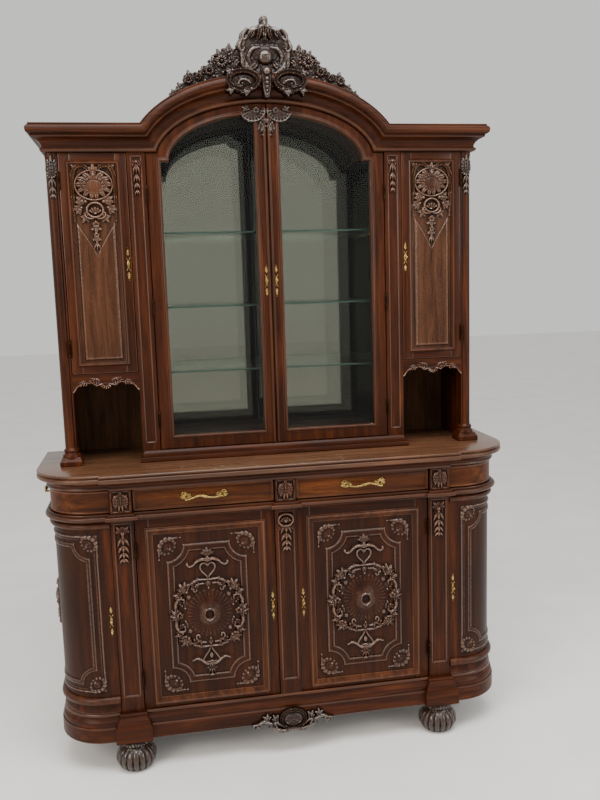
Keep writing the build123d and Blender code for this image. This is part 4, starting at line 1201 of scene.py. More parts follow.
# %% Frame of the tower doors
tower_low, tower_high = low("right_tower_door"), high("right_tower_door")
tower_back = tower_high[1]
tx0, tx1, tz0, tz1 = tower_low[0], tower_high[0], tower_low[2], tower_high[2]
tower_bead = [(0, -1), (0, 1.5), (-1.5, 3), (-3, 5.5), (-6, 7.6), (-9, 7), (-11, 4.5),
              (-12.5, 3), (-14, 2.4), (-14, -5), (-13.8, -5)]
tower_stile = 36
for name, side in SIDES:
    stiles_and_rails(name, side, "tower", (tx0, tx1, upper_face, tower_back, tz0, tz1),
                     (tower_stile,) * 3, [name + "_tower_door"])
    ring = run(name + "_tower_door_moulding", tower_bead,
               rectangle_line(tx0 + 22, tx1 - 22, tz0 + 24, tz1 - 24, upper_face, side), True)
    dress(ring, oak_up, "door_tower_" + name)
print("tower door", tx1 - tx0, "by", tz1 - tz0)


# %% [markdown]
# ## Carved panels of the base doors
# The panel has a raised band with hollow corners. In the middle sits a cartouche: a fluted bowl with
# a boss, in a wreath of scrolls and leaves, with a bow above and a pendant below. A ring of beads
# round a shell fills each hollow corner.

# %% Helpers for carved grounds
def smooth_step(value, start, stop):
    """Zero before the start, one after the stop, and an easy slope between."""
    t = np.clip((value - start) / (stop - start), 0, 1)
    return t * t * (3 - 2 * t)


def inside_rectangle(c, x0, x1, z0, z1, hollow=0):
    """Distance inside a rectangle, whose corners may be cut by circles."""
    x, z = np.meshgrid(c.x, c.z)
    depth = np.minimum(np.minimum(x - x0, x1 - x), np.minimum(z - z0, z1 - z))
    if hollow:
        for cx in (x0, x1):
            for cz in (z0, z1):
                depth = np.minimum(depth, np.hypot(x - cx, z - cz) - hollow)
    return depth


def beaded(depth, width, height, floor_height=0.6):
    """Band of a given width with a bead along both of its edges."""
    middle = smooth_step(depth, 0, 1.5) * smooth_step(-depth, -width, 1.5 - width)
    beads = np.zeros_like(depth)
    for place in (4.5, width - 4.5):
        beads = np.maximum(beads, np.sqrt(np.clip(1 - ((depth - place) / 4.5) ** 2, 0, 1)))
    return height * np.maximum(middle * floor_height, beads)


def roundel(c, x, z, sx, sz, size, height):
    """Ring of beads round a shell in a hollow corner: sx and sz point outwards."""
    turn = math.atan2(sz, sx)
    along, over = (math.cos(turn), math.sin(turn)), (-math.sin(turn), math.cos(turn))

    def at(u, v):
        return (x + (u * along[0] + v * over[0]) * size, z + (u * along[1] + v * over[1]) * size)

    for k in range(12):
        a = math.tau * k / 12
        fat = size * (0.17 + 0.05 * math.cos(a))
        c.dome(*at(0.52 * math.cos(a), 0.66 * math.sin(a)), fat * 1.15, fat * 1.15,
               height * (0.8 + 0.3 * math.cos(a)))
    c.dome(*at(0, 0), 0.5 * size, 0.5 * size, height * 0.3, height * 0.25)
    c.cluster(at(-0.3, 0), math.degrees(turn), size * 0.66, height * 0.95, 54, 5)
    for hand, (ux, uz) in ((1, (-sx, 0)), (-1, (0, -sz))):
        start = at(0.3, 0.6 * (1 if (over[0] * ux + over[1] * uz) > 0 else -1))
        middle = (start[0] + ux * size * 0.35, start[1] + uz * size * 0.35)
        stop = (start[0] + ux * size * 0.7 + sx * size * 0.02,
                start[1] + uz * size * 0.7 + sz * size * 0.02)
        c.stroke([start, middle, stop], [size * 0.16, size * 0.1, size * 0.05],
                 [height, height * 0.7, height * 0.5])
        c.dome(stop[0] + ux * 7, stop[1] + uz * 7, size * 0.09, size * 0.09, height * 0.7)


def cartouche(c, x, z, size=1.0, height=16):
    """Domed boss with fine flutes in a wreath, a bow above, a pendant below (right half)."""
    def at(dx, dz):
        return (x + dx * size, z + dz * size)

    def span(*values):
        return [v * size for v in values]

    h = height
    gx, gz = np.meshgrid(c.x, c.z)
    r = np.hypot((gx - x) / (100 * size), (gz - z) / (112 * size))
    a = np.arctan2(gz - z, gx - x)
    flutes = 0.5 + 0.5 * np.cos(a * 34)
    bowl = h * np.interp(r, [0, 0.11, 0.15, 0.2, 0.32, 0.44, 0.54, 0.6, 0.76, 0.8, 1.08, 1.1],
                         [1.1, 1.15, 1.75, 1.72, 1.4, 0.98, 0.78, 0.72, 0.6, 0.42, 0.34, 0])
    bowl -= h * 0.08 * flutes * smooth_step(r, 0.36, 0.6) * smooth_step(-r, -0.82, -0.76)
    c.height = np.maximum(c.height, bowl * (r < 1.1))
    c.ring(x, z, 17 * size, 22 * size, 5 * size, h * 1.95)
    c.flower(x, z, 8 * size, h * 1.35, 4)
    # open frame of scrolls and leaves round the bowl
    for dz in (1, -1):
        c.stroke([at(0, 122 * dz), at(30, 122 * dz), at(58, 112 * dz), at(78, 96 * dz)],
                 span(4, 5.5, 6.5, 5), [h * 0.75, h * 0.85, h * 0.9])
        c.stroke([at(116, 14 * dz), at(116, 40 * dz), at(104, 60 * dz), at(88, 56 * dz),
                  at(88, 42 * dz)], span(5, 8, 8, 6.5, 5), [h * 0.9, h * 1.1, h])
        c.scroll(at(16, 108 * dz), 4, 66 * size, [-0.6 * dz, -1.4 * dz, -4 * dz, -13 * dz],
                 6 * size, h * 0.95, "round")
        for dx, reach_z, heading, length, rise, spread, count in (
                (76, 84, 48, 38, 1.25, 66, 5), (96, 66, 20, 30, 1.1, 48, 3),
                (58, 94, 160, 30, 0.95, 34, 3), (84, 24, 100, 30, 0.85, 34, 3),
                (94, 34, 60, 26, 0.9, 40, 3), (44, 100, 30, 24, 0.9, 44, 3),
                (34, 110, 78, 20, 0.85, 40, 3), (0, 92, 90, 28, 0.95, 30, 3)):
            c.cluster(at(dx, reach_z * dz), heading * dz, length * size, h * rise, spread, count)
        c.dome(*at(70, 62 * dz), 11 * size, 11 * size, h * 0.8)
    c.cluster(at(98, 0), 0, 40 * size, h * 1.15, 56, 5)
    c.flower(*at(102, 0), 15 * size, h * 1.3, 5)
    # bow above: a heart strap, two arms with turned-up tips, and a leafy finial
    c.stroke([at(0, 120), at(5, 134), at(22, 154), at(25, 172), at(14, 182), at(3, 177)],
             span(5, 4.2, 4.6, 5, 5.4, 5), [h * 0.6, h * 0.55, h * 0.6, h * 0.7])
    c.stroke([at(0, 190), at(16, 196), at(36, 190), at(50, 177), at(63, 172), at(72, 180)],
             span(7, 8, 7, 5.6, 5.6, 4), [h * 0.9, h * 0.95, h * 0.8, h * 0.7])
    c.dome(*at(70, 182), 5.5 * size, 5.5 * size, h * 0.65)
    c.dome(*at(0, 197), 12 * size, 10 * size, h * 0.95)
    c.cluster(at(0, 204), 90, 32 * size, h * 0.8, 58, 5)
    # pendant below: a three-cornered strap, a yoke and a drop
    c.stroke([at(0, -122), at(9, -142), at(24, -164), at(27, -176), at(14, -182), at(0, -178)],
             span(5, 4.4, 4.6, 5, 5, 4.6), [h * 0.6, h * 0.6, h * 0.7])
    c.stroke([at(0, -190), at(18, -186), at(36, -172), at(50, -166), at(66, -172)],
             span(7, 7.5, 6.5, 5.4, 4), [h * 0.85, h * 0.9, h * 0.75])
    c.dome(*at(66, -172), 4.8 * size, 4.8 * size, h * 0.6)
    c.flower(*at(0, -192), 12 * size, h * 0.9, 5)
    c.cluster(at(0, -196), -90, 26 * size, h * 0.65, 64)
    c.dome(*at(0, 176), 9 * size, 11 * size, h * 0.7)
    c.dome(*at(0, -160), 9 * size, 12 * size, h * 0.7)
    c.husks(x, z - 200 * size, z - 240 * size, 13 * size, h * 0.65, 2)


# %% Base door panels
px0, px1 = door_x0 + stile, door_x1 - stile
pz0, pz1 = door_z0 + low_rail, door_z1 - stile
panel_x, panel_z = (px0 + px1) / 2, (pz0 + pz1) / 2
base_panel = Carving(px0, px1, pz0, pz1, 2)
inset, hollow, band = 55, 58, 27
depth = inside_rectangle(base_panel, px0 + inset, px1 - inset, pz0 + inset, pz1 - inset,
                         hollow)
base_panel.height = beaded(depth, band, 5) + 1.5 * smooth_step(depth, band, band + 3)
cartouche(base_panel, panel_x, panel_z)
for sz in (-1, 1):
    corner_z = panel_z + sz * ((pz1 - pz0) / 2 - inset - 4)
    roundel(base_panel, px1 - inset - 4, corner_z, 1, sz, 44, 9)
base_panel.grain(0.25, 3)
base_panel.both_sides()
panel_y = face + 4
for name, side in SIDES:
    dress(carved_board(name + "_base_door_carving", base_panel, on_front(panel_y, side), 13),
          oak_panel, "door_base_" + name, [name + "_base_door_panel"], 60)
print("panel points", base_panel.height.size, "highest", round(base_panel.height.max(), 1))


# %% [markdown]
# ## Carved panels of the tower doors
# Two big C-scrolls meet over a shell of seven petals, a small second shell hangs from it between leaf
# sprays, and a drop of flowers ends on a stippled pointed ground. Below it the panel is a smooth
# raised field whose top edge dips to a point.

# %% Tower panels
ux0, ux1 = tx0 + tower_stile, tx1 - tower_stile
uz0, uz1 = tz0 + tower_stile, tz1 - tower_stile
ux = (ux0 + ux1) / 2
tower_panel = Carving(ux0, ux1, uz0, uz1, 1.6)
gx, gz = np.meshgrid(tower_panel.x, tower_panel.z)
drop_z, shoulder_z = uz1 - 300, uz1 - 192
vee = drop_z + (shoulder_z - drop_z) * np.clip(np.abs(gx - ux) / 62, 0, 1) ** 0.85
depth = np.minimum(inside_rectangle(tower_panel, ux0 + 9, ux1 - 9, uz0 + 9, uz1 + 50), vee - gz)
tower_panel.height = 4.5 * smooth_step(depth, 0, 5) + 1.4 * np.exp(-((depth - 8) / 2.2) ** 2)
stipple = np.random.default_rng(8).random(tower_panel.height.shape)
tower_panel.height += np.where((depth < 0) & (gz > drop_z), stipple * 0.9, 0)


def tower_carving(c, x, top):
    """Scrolls that close the frame, shells, sprays and a drop, from a height (right half)."""
    h = 16
    c.stroke([(x + 69, top - 186), (x + 70, top - 90), (x + 69, top - 40), (x + 54, top - 8),
              (x + 28, top - 6), (x + 13, top - 24), (x + 19, top - 40), (x + 29, top - 34)],
             [4, 4.6, 6, 8, 8, 7, 6, 5], [6, 9, 13, 15, 15, 14, 13, 12], "hollow")
    for k in range(7):
        a = math.radians(-84 + 28 * k)
        fat = 14 if k in (3, 4, 5) else 11
        c.petal((x + 20 * math.cos(a), top - 70 + 16 * math.sin(a)),
                (x + 60 * math.cos(a), top - 68 + 47 * math.sin(a)), fat, h * 0.95, 3)
    c.ring(x, top - 68, 62, 49, 4, h * 0.75)
    c.dome(x, top - 76, 32, 26, h * 0.35, h * 0.55)
    c.cluster((x, top - 26), 90, 30, h, 52)
    c.dome(x, top - 34, 9, 10, h * 1.15)
    c.cluster((x + 56, top - 8), 20, 18, h * 0.7, 40)
    c.cluster((x + 30, top - 122), 12, 36, h * 0.85, 48, 4)
    c.cluster((x + 44, top - 142), -30, 30, h * 0.75, 50, 4)
    c.cluster((x + 26, top - 166), -55, 30, h * 0.7, 44)
    c.ring(x, top - 150, 27, 24, 4.6, h * 0.9)
    c.fan(x, top - 164, 25, 20, 160, 5, h * 0.85, 0.3)
    c.scroll((x + 8, top - 178), -8, 44, [1, 3, 10], 4.6, h * 0.85, "round")
    c.flower(x, top - 198, 14, h * 0.9, 5)
    c.cluster((x, top - 204), -90, 26, h * 0.75, 62)
    c.flower(x, top - 234, 11, h * 0.8, 5)
    c.cluster((x, top - 238), -90, 24, h * 0.7, 52)
    c.husks(x, top - 258, top - 284, 12, h * 0.6, 1)


tower_carving(tower_panel, ux, uz1)
tower_panel.grain(0.2, 4)
tower_panel.both_sides()
for name, side in SIDES:
    dress(carved_board(name + "_tower_door_carving", tower_panel,
                       on_front(upper_face + 5, side), 12),
          oak_tower, "door_tower_" + name, angle=60)
print("tower panel points", tower_panel.height.size)


# %% [markdown]
# ## Carved end doors
# The end doors are coopered and curved, so their carving is laid on the curve: one coordinate runs
# along the outline of the base, the other upwards.

# %% End door carving
straight = corner_x - end_x0
bend = corner_radius * math.pi / 2
end_span = straight + bend + end_y1 - corner_y


def on_end(side):
    """Places a carving on the curved outline: s along it, z upwards."""
    def place(s, z, h):
        if s < straight:
            x, y = end_x0 + s, face - h
        elif s < straight + bend:
            a = -math.pi / 2 + (s - straight) / corner_radius
            x = corner_x + (corner_radius + h) * math.cos(a)
            y = corner_y + (corner_radius + h) * math.sin(a)
        else:
            x, y = half + h, corner_y + s - straight - bend
        return (side * x, y, z)
    return place


end_field = Carving(30, end_span - 22, end_z0 + 66, end_z1 - 30, 2.6)
depth = inside_rectangle(end_field, 44, end_span - 34, end_z0 + 78, end_z1 - 42)
end_field.height = 0.4 + 5 * np.exp(-((depth - 5) / 3.4) ** 2) + 2.6 * np.exp(
    -((depth - 13) / 2.4) ** 2)
inner = inside_rectangle(end_field, 72, end_span - 62, end_z0 + 106, end_z1 - 70, 52)
end_field.height += beaded(inner, 16, 3.4, 0.5)
# the cartouche is carved on a field of its own, whose halves mirror, and then laid in
cart_s, cart_z = straight + bend + 118, (end_z0 + end_z1) / 2 + 10
own_field = Carving(2 * cart_s - end_field.x[-1], end_field.x[-1], end_field.z[0],
                    end_field.z[-1], 2.6)
cartouche(own_field, cart_s, cart_z, 0.74, 15)
own_field.both_sides()
shift = np.searchsorted(own_field.x, end_field.x).clip(0, len(own_field.x) - 1)
part = own_field.height[:, shift]
part[:, end_field.x < own_field.x[0]] = 0
end_field.height = np.maximum(end_field.height, part)
for sx, s in ((-1, 72 + 2), (1, end_span - 62 - 2)):
    for sz, z in ((-1, end_z0 + 108), (1, end_z1 - 72)):
        roundel(end_field, s, z, sx, sz, 40, 9)
end_field.grain(0.22, 5)
for name, side in SIDES:
    dress(carved_board(name + "_end_door_carving", end_field, on_end(side), 2),
          oak_panel, "door_end_" + name, angle=60)
print("end door span", round(end_span), "points", end_field.height.size)


# %% [markdown]
# ## Pilasters, blocks and aprons
# Each pilaster has a sunk field with a drop of bellflowers, and a leaf is carved on each block
# between the drawers.

# %% Sunk fields and standing boards
def sunk_field(c, depth, rise, slope, bead):
    """Raised border round a sunk field, with a bead of (height, place, half width) inside it."""
    height, place, width = bead
    c.height = rise * (1 - smooth_step(depth, 0, slope)) + height * np.exp(
        -((depth + place) / width) ** 2)


def standing_boards(name, c, places, y, rear, node):
    """Equal carved boards at several places along the front, that stand for a CAD sub-part."""
    boards = [carved_board("board", c, lambda x, z, h, at=at: (at + x, y - h, z), rear - y)
              for at in places]
    dress(joined(name, boards), oak_up, "cabinet", [node], 60)


# %% Pilasters of the base
pilaster_width = 77
reach = pilaster_width / 2
pilaster_rear = high("side_pilasters")[1]
recess_y = face - 2
for node, places, drop in (("side_pilasters", (-pilaster_x, pilaster_x), 130),
                           ("centre_pilaster", (0,), 136)):
    c = Carving(-reach, reach, plinth_high, door_z1 + 2, 1.6)
    depth = inside_rectangle(c, -reach + 13, reach - 13, plinth_high + 58, door_z1 - 12)
    sunk_field(c, depth, 4, 3, (1.3, 3, 1.6))
    head = door_z1 - 18
    if drop > 130:
        c.ring(0, head - 22, 26, 22, 4.5, 11)
        c.fan(0, head - 34, 24, 20, 160, 7, 10, 0.3)
        c.cluster((14, head - 44), -50, 20, 9)
    else:
        c.cluster((2, head - 22), 50, 28, 9, 50)
        c.scroll((4, head - 20), -30, 40, [-2, -5, -14], 4.6, 9)
    c.dome(0, head - 26, 9, 9, 11)
    c.husks(0, head - 40, head - drop, 21, 9.5, 4)
    c.grain(0.15, 6)
    c.both_sides()
    standing_boards(node + "_carved", c, places, recess_y, pilaster_rear, node)
print("pilasters at", round(pilaster_x, 1), "and in the middle")

# %% Frieze blocks
block_width = 73
block_reach = block_width / 2
block_low, block_high = low("frieze_blocks"), high("frieze_blocks")
c = Carving(-block_reach, block_reach, block_low[2], block_high[2], 1.2)
depth = inside_rectangle(c, -block_reach + 7, block_reach - 7, block_low[2] + 7,
                         block_high[2] - 7)
c.height = 3.5 * (1 - smooth_step(depth, 0, 2)) + 0.2
middle_z = (block_low[2] + block_high[2]) / 2
c.leaf((0, middle_z + 30), (6, middle_z - 30), 22, 10, 0, 4)
c.leaf((4, middle_z - 8), (24, middle_z + 24), 12, 9, 4, 3)
c.scroll((6, middle_z - 18), 10, 46, [1, 5, 14], 3.6, 8)
for k in range(5):
    c.dome(0, middle_z + 24 - 10 * k, 3.4, 3.4, 12 - k)
c.grain(0.15, 7)
c.both_sides()
block_y = block_low[1] + 3.5
boards = [carved_board("block", c, lambda x, z, h, at=at: (at + x, block_y - h * 0.99, z),
                       block_high[1] - block_y) for at in pilaster_places]
dress(joined("carved_frieze_blocks", boards), oak_up, "cabinet", ["frieze_blocks"], 60)
print("block", block_high[2] - block_low[2], "high")

# %% Pilasters of the upper part
post_low, post_high = low("upper_pilasters"), high("upper_pilasters")
stile_x0, stile_x1 = 419, 480
stile_x, stile_reach = (stile_x0 + stile_x1) / 2, (stile_x1 - stile_x0) / 2
c = Carving(-stile_reach, stile_reach, post_low[2], post_high[2], 1.7)
depth = inside_rectangle(c, -stile_reach + 15, stile_reach - 15, post_low[2] + 30,
                         post_high[2] - 14)
sunk_field(c, depth, 3, 2.5, (1.2, 2, 1.5))
head = post_high[2] - 20
c.leaf((2, head - 6), (12, head - 30), 8, 7, 2, 2)
c.dome(0, head - 10, 6, 6, 9)
c.husks(0, head - 18, head - 122, 13, 8, 4)
c.grain(0.12, 9)
c.both_sides()
boards = [carved_board("stile", c,
                       lambda x, z, h, side=side: (side * (stile_x + x), upper_face + 3 - h, z),
                       post_high[1] - upper_face - 3) for _, side in SIDES]
dress(joined("upper_pilasters_carved", boards), oak_up, "cabinet", ["upper_pilasters"], 60)
print("upper pilasters", stile_x1 - stile_x0, "wide")

# %% Niche aprons
apron_low, apron_high = low("niche_aprons"), high("niche_aprons")
niche_x0, niche_x1 = 480, 707
niche_x = (niche_x0 + niche_x1) / 2
c = Carving(niche_x0, niche_x1, apron_low[2] - 2, apron_high[2], 1.5)
gx, gz = np.meshgrid(c.x, c.z)
off = np.abs(gx - niche_x)
edge = np.interp(off.ravel(), [0, 12, 26, 60, 78, 95, 104, 108, 113.5],
                 [1345, 1352, 1362, 1362, 1360, 1350, 1338, 1332, 1331]).reshape(off.shape)
edge += 2.2 * np.abs(np.sin(off / 9))
depth = gz - edge
c.height = np.where(depth > 0, 6 + 2.6 * np.exp(-((depth - 4) / 2.5) ** 2), 0)
c.fan(niche_x, 1366, 24, 190, 350, 7, 14, 0.3)
c.leaf((niche_x + 16, 1364), (niche_x + 64, 1372), 13, 13, 4, 4)
c.leaf((niche_x + 62, 1370), (niche_x + 96, 1352), 10, 12, 4, 3)
c.both_sides()
for name, side in SIDES:
    made = carved_piece(name + "_niche_apron", c, on_front(upper_face + 6, side), 0, 13)
    dress(made, oak_across, "cabinet", ["niche_aprons"] if side > 0 else [], 50)
print("apron from", apron_low[2], "to", apron_high[2])


# %% [markdown]
# ## The crest and the shell under the plinth
# These carvings are sawn out round their outline and then cut with gouges. The parts nearest the
# middle stand highest. Each is a height field again, of which only the part inside the outline is
# kept.

# %% Crest
crest_low, crest_high = low("crest_carving"), high("crest_carving")
crest_reach = 328
crest = Carving(-crest_reach, crest_reach, 2268, crest_high[2], 1.7)


def crest_carving(c):
    """Right half of the crest: shell, leaves and roses over the arch."""
    top_a, top_b = arch_a + cornice_tall - 2, arch_b + cornice_tall - 2

    def arch_top(x):
        return spring_z + top_b * math.sqrt(1 - (x / top_a) ** 2)

    base = [(x, arch_top(x) + 7) for x in (0, 40, 90, 140, 190, 240, 290, 326)]
    c.stroke(base, [16, 16, 17, 17, 16, 14, 11, 6], [13, 14, 14, 13, 12, 11, 10, 7])
    # leaves and roses that run down the arch, humped and thick
    rise = ((0, 2520), (96, 2476), (104, 2468), (121, 2489), (138, 2474), (153, 2472), (168, 2450),
            (181, 2448), (196, 2420), (217, 2412), (236, 2392), (257, 2401), (274, 2374),
            (293, 2362), (311, 2344), (326, 2318), (340, 2300))
    gx, gz = np.meshgrid(c.x, c.z)
    line = np.interp(np.abs(gx), *zip(*rise))
    wave = 3 * np.sin(gx / 5.5) * np.sin(gz / 6.5)
    c.height = np.maximum(c.height, np.where((gz < line - 7) & (gz > 2280), 11 + wave, 0)
                          * (np.hypot(gx, (gz - spring_z) * 472 / 282) > 462))
    for x, z, heading, size, height in (
            (112, 2404, 30, 44, 18), (144, 2396, 45, 44, 19), (176, 2384, 50, 42, 19),
            (206, 2370, 40, 40, 18), (236, 2356, 50, 38, 17), (266, 2338, 40, 34, 15),
            (292, 2316, 35, 30, 13), (312, 2296, 25, 22, 11), (120, 2430, 100, 38, 20),
            (122, 2454, 94, 36, 21), (150, 2446, 70, 28, 20), (172, 2426, 78, 26, 20),
            (210, 2394, 80, 22, 18), (254, 2376, 75, 28, 17), (286, 2346, 60, 20, 14),
            (306, 2326, 55, 20, 13), (186, 2404, 30, 26, 18), (228, 2376, 20, 24, 17)):
        c.cluster((x, z), heading, size, height, 52)
    for x, z, r in ((148, 2432, 25), (190, 2402, 20), (226, 2382, 15), (262, 2372, 17),
                    (296, 2332, 14)):
        c.flower(x, z, r, 27, 6)
    # hood of the shell, a smooth cup with a rolled and scalloped rim
    u, v = gx / 89, (gz - 2464) / 92
    r, a = np.hypot(u, v), np.arctan2(v, u)
    ribs = np.abs(np.sin((a + math.pi / 2) * 5.5))
    rim = 0.965 + 0.035 * ribs
    cup = np.interp(r / rim, [0, 0.3, 0.6, 0.76, 0.86, 0.95, 1.0], [11, 11, 12, 19, 26, 23, 13])
    cup -= 4 * (1 - ribs) ** 1.5 * smooth_step(r, 0.2, 0.5)
    c.height = np.maximum(c.height, cup * (r < rim))
    # three tongues that droop from the top, and lobes that roll over the rim beside them
    c.petal((0, 2552), (0, 2496), 11, 30)
    c.petal((16, 2550), (28, 2500), 12, 30, -5)
    c.petal((40, 2542), (54, 2506), 12, 30, -6)
    c.stroke([(60, 2534), (74, 2516), (72, 2500), (62, 2506)], [8, 10, 8, 6], [31, 32, 29])
    c.stroke([(80, 2500), (88, 2478), (78, 2464), (70, 2474)], [8, 10, 8, 6], [29, 30, 27])
    # boss with a smooth brow, and side leaves that frame it
    c.dome(0, 2456, 42, 28, 8, 12)
    c.dome(0, 2448, 27, 27, 19, 11)
    c.stroke([(20, 2478), (44, 2472), (58, 2448), (50, 2422)], [8, 11, 11, 7], [20, 26, 25, 18])
    c.stroke([(66, 2456), (78, 2436), (74, 2414), (58, 2404)], [8, 11, 10, 7], [22, 26, 24, 18])
    c.petal((28, 2432), (60, 2404), 14, 25, -5)
    c.petal((86, 2440), (104, 2404), 12, 22, 5)
    # finial
    c.stroke([(0, 2548), (0, 2562), (4, 2574)], [11, 10, 8], [28, 27, 24])
    c.dome(2, 2568, 13, 12, 27)


crest_carving(crest)
crest.grain(0.4, 11)
crest.both_sides()
crest.height *= 1 - 0.22 * np.abs(crest.x) / crest_reach
crest_back = crest_high[1]
limit = crest_back - crest_low[1]
front_y = crest_back - 13
# the deepest carving still stays behind the CAD front
crest.height = np.minimum(crest.height, limit - 13.5)
dress(carved_piece("crest_shell_and_sprays", crest, on_front(front_y), 0, 12.5), carved_oak,
      "cabinet", ["crest_carving"], 60)
print("crest points", int((crest.height > 0).sum()))

# %% Volutes and beads over the middle of the cornice
volutes = Carving(-140, 140, 2302, 2412, 1.4)
volutes.ring(80, 2366, 50, 30, 9, 16, "hollow")
volutes.dome(82, 2365, 42, 22, 5, 2)
volutes.scroll((56, 2356), 50, 74, [-1.4, -2, -5, -12], 6, 15, "round")
volutes.petal((112, 2352), (78, 2352), 8, 13, 3)
volutes.cluster((54, 2338), -20, 36, 16, 30)
volutes.cluster((112, 2338), -12, 26, 13)
volutes.cluster((118, 2386), 30, 22, 13)
volutes.stroke([(0, 2400), (0, 2360), (0, 2320)], [19, 17, 10], [7, 7, 6])
volutes.dome(0, 2396, 15, 15, 19)
for k in range(5):
    volutes.dome(0, 2372 - 13 * k, 9 - 0.9 * k, 8 - 0.8 * k, 15 - 1.2 * k)
volutes.grain(0.25, 14)
volutes.both_sides()
dress(carved_piece("crest_volutes", volutes, on_front(upper_face - 48), 0, 30), carved_oak,
      "cabinet", angle=60)
print("volutes", round(volutes.height.max()), "high")

# %% Shell under the plinth
shell_low, shell_high = low("apron_carving"), high("apron_carving")
apron = Carving(-150, 150, shell_low[2], shell_high[2], 1.5)
apron.dome(0, 134, 50, 40, 3, 4)
apron.dome(0, 132, 34, 26, 8, 7)
apron.ring(0, 134, 45, 35, 5.5, 17, "hollow")
apron.fan(0, 104, 34, 30, 150, 7, 17, 0.3)
apron.stroke([(4, 98), (40, 92), (66, 104), (84, 124), (106, 134), (128, 124), (147, 122)],
             [9, 10, 9, 9, 8, 6, 3], [15, 16, 15, 15, 14, 12, 9])
apron.scroll((44, 112), 60, 60, [-1, -3, -8, -16], 6, 15, "round")
apron.cluster((62, 108), 30, 32, 14, 34)
apron.cluster((96, 132), 96, 28, 14, 40)
apron.cluster((58, 128), 60, 30, 14, 40)
apron.cluster((116, 122), -30, 24, 12)
apron.grain(0.3, 12)
apron.both_sides()
apron.height = np.minimum(apron.height, shell_high[1] - shell_low[1] - 5)
dress(carved_piece("plinth_shell", apron, on_front(shell_high[1] - 5), 0, 4.5), carved_oak,
      "cabinet", ["apron_carving"], 60)
print("plinth shell", round(apron.height.max()), "high")

# %% Spandrel shells in the heads of the glazed doors
spandrel = Carving(0, 96, 2186, 2304, 1.5)
spandrel.fan(46, 2280, 42, 178, 340, 9, 9, 0.3, 0.05, 0.9)
spandrel.stroke(curve_points((46, 2280), 42, 176, 344, 16, 0.9), [4], [10])
spandrel.stroke(curve_points((46, 2280), 30, 180, 340, 14, 0.9), [2.4], [9])
spandrel.flower(34, 2280, 13, 10, 5)
spandrel.cluster((60, 2282), 20, 24, 9)
spandrel.cluster((14, 2246), 200, 22, 9)
spandrel.cluster((20, 2238), -110, 30, 9)
spandrel.husks(13, 2222, 2190, 10, 8, 2)
spandrel.grain(0.2, 13)
for name, side in SIDES:
    dress(carved_piece(name + "_door_spandrel_shell", spandrel, on_front(upper_face, side),
                       0.8, 3), carved_oak, "door_glass_" + name, angle=60)
print("apron and spandrels carved")


# %% [markdown]
# ## Turned parts
# The feet are turned buns with gadroons cut round them, and the corner posts are boards with an
# engaged column, turned rings and a carved leaf at the top.

# %% Feet
def gadrooned_foot(x, y, height):
    """Bun foot: rows of points round the axis, swelling between the flutes."""
    profile = [(40, 0), (50, 3), (60, 12), (68, 26), (71.5, 40), (70, 54), (63, 68), (54, 78),
               (47, 83), (45, 87), (50, 90), (53, 94), (50, 99), (44, 104), (42, 109),
               (47, 112), (47, height)]
    rows = []
    for r, z in profile:
        belly = np.clip(1 - abs(z - 40) / 44, 0, 1) ** 0.5
        neck = np.clip(1 - abs(z - 94) / 9, 0, 1)
        ring = []
        for a in full_turn(144):
            flute = 1 - abs(math.sin(9 * a))
            curl = abs(math.sin(12 * a))
            radius = r - 7 * belly * flute ** 2 - 4 * neck * (1 - curl)
            ring.append((x + radius * math.cos(a), y + radius * math.sin(a), z))
        rows.append(ring)
    return skin("foot", rows, wrap_columns=True)


foot_y = -160
feet = [gadrooned_foot(side * pilaster_x, foot_y, feet_tall) for _, side in SIDES]
for foot in feet:
    co = np.array([v.co[:] for v in foot.data.vertices]) / MM
    foot_x = round(co[:, 0].mean())
    radius = np.hypot(*(co[:, :2] - [foot_x, foot_y]).T)
    smooth = np.interp(co[:, 2], [0, 12, 40, 68, 83, 94, 104, 116], [50, 60, 70, 61, 46, 51, 44,
                                                                   47])
    # swells of the gadroons painted lighter, for wear and a painted highlight, and the flutes darker,
    # for wax and painted shade
    add_tone(foot, np.clip((radius - smooth + 2) * 0.16, -0.9, 0.5))
dress(joined("gadrooned_feet", feet), carved_oak, "cabinet", ["front_feet"], 50)
print("feet at", round(pilaster_x, 1))

# %% Corner posts
post_x, post_y, column_radius = 727, -23, 19.3
column_profile = [(0, 1100), (30, 1100), (31, 1104), (31, 1112), (29, 1117), (25, 1120),
                  (23.5, 1124), (26, 1128), (26, 1132), (23, 1136), (19.5, 1140), (19, 1160),
                  (19.6, 1500), (19, 2084), (22, 2088), (22, 2093), (19.5, 2096), (19.5, 2110),
                  (20.5, 2120), (22, 2130), (22, 2140), (0, 2140)]
for name, side in SIDES:
    column = turned("column", side * post_x, post_y, column_profile)
    plain_tone(column)
    foot_levels = [(36, -58, table_z), (37.5, -60, 1081), (37.5, -60, 1094), (35, -57, 1098),
                   (33, -53, 1102), (31, -48, 1108)]
    block = rectangle_rings("post_block", side * (post_x + 0.5), 10, foot_levels)
    plain_tone(block)
    board = side_boards("post_board", side, [
        (707, 748, -22, 10, table_z, 2140), (706.8, 712, -42, -18, 1110, 2139)], 1)
    dress(joined(name + "_corner_post", [board, block, column]), oak_up, "cabinet",
          ["corner_posts"] if side > 0 else [], 30)
    c = Carving(-26, 26, 1986, 2134, 1.3)
    c.leaf((0, 2066), (0, 2130), 20, 8, 0, 4)
    c.leaf((6, 2070), (18, 2110), 12, 7, 3, 3)
    c.fan(0, 2072, 16, 190, 350, 5, 8, 0.3)
    c.husks(0, 2058, 1990, 13, 6.5, 3)
    c.both_sides()

    def on_column(s, z, h, side=side):
        a = -math.pi / 2 + s / 20
        r = column_radius + h
        return (side * (post_x + r * math.cos(a)), post_y + r * math.sin(a), z)

    dress(carved_piece(name + "_post_leaf", c, on_column, 0.4, 2), carved_oak, "cabinet",
          angle=60)
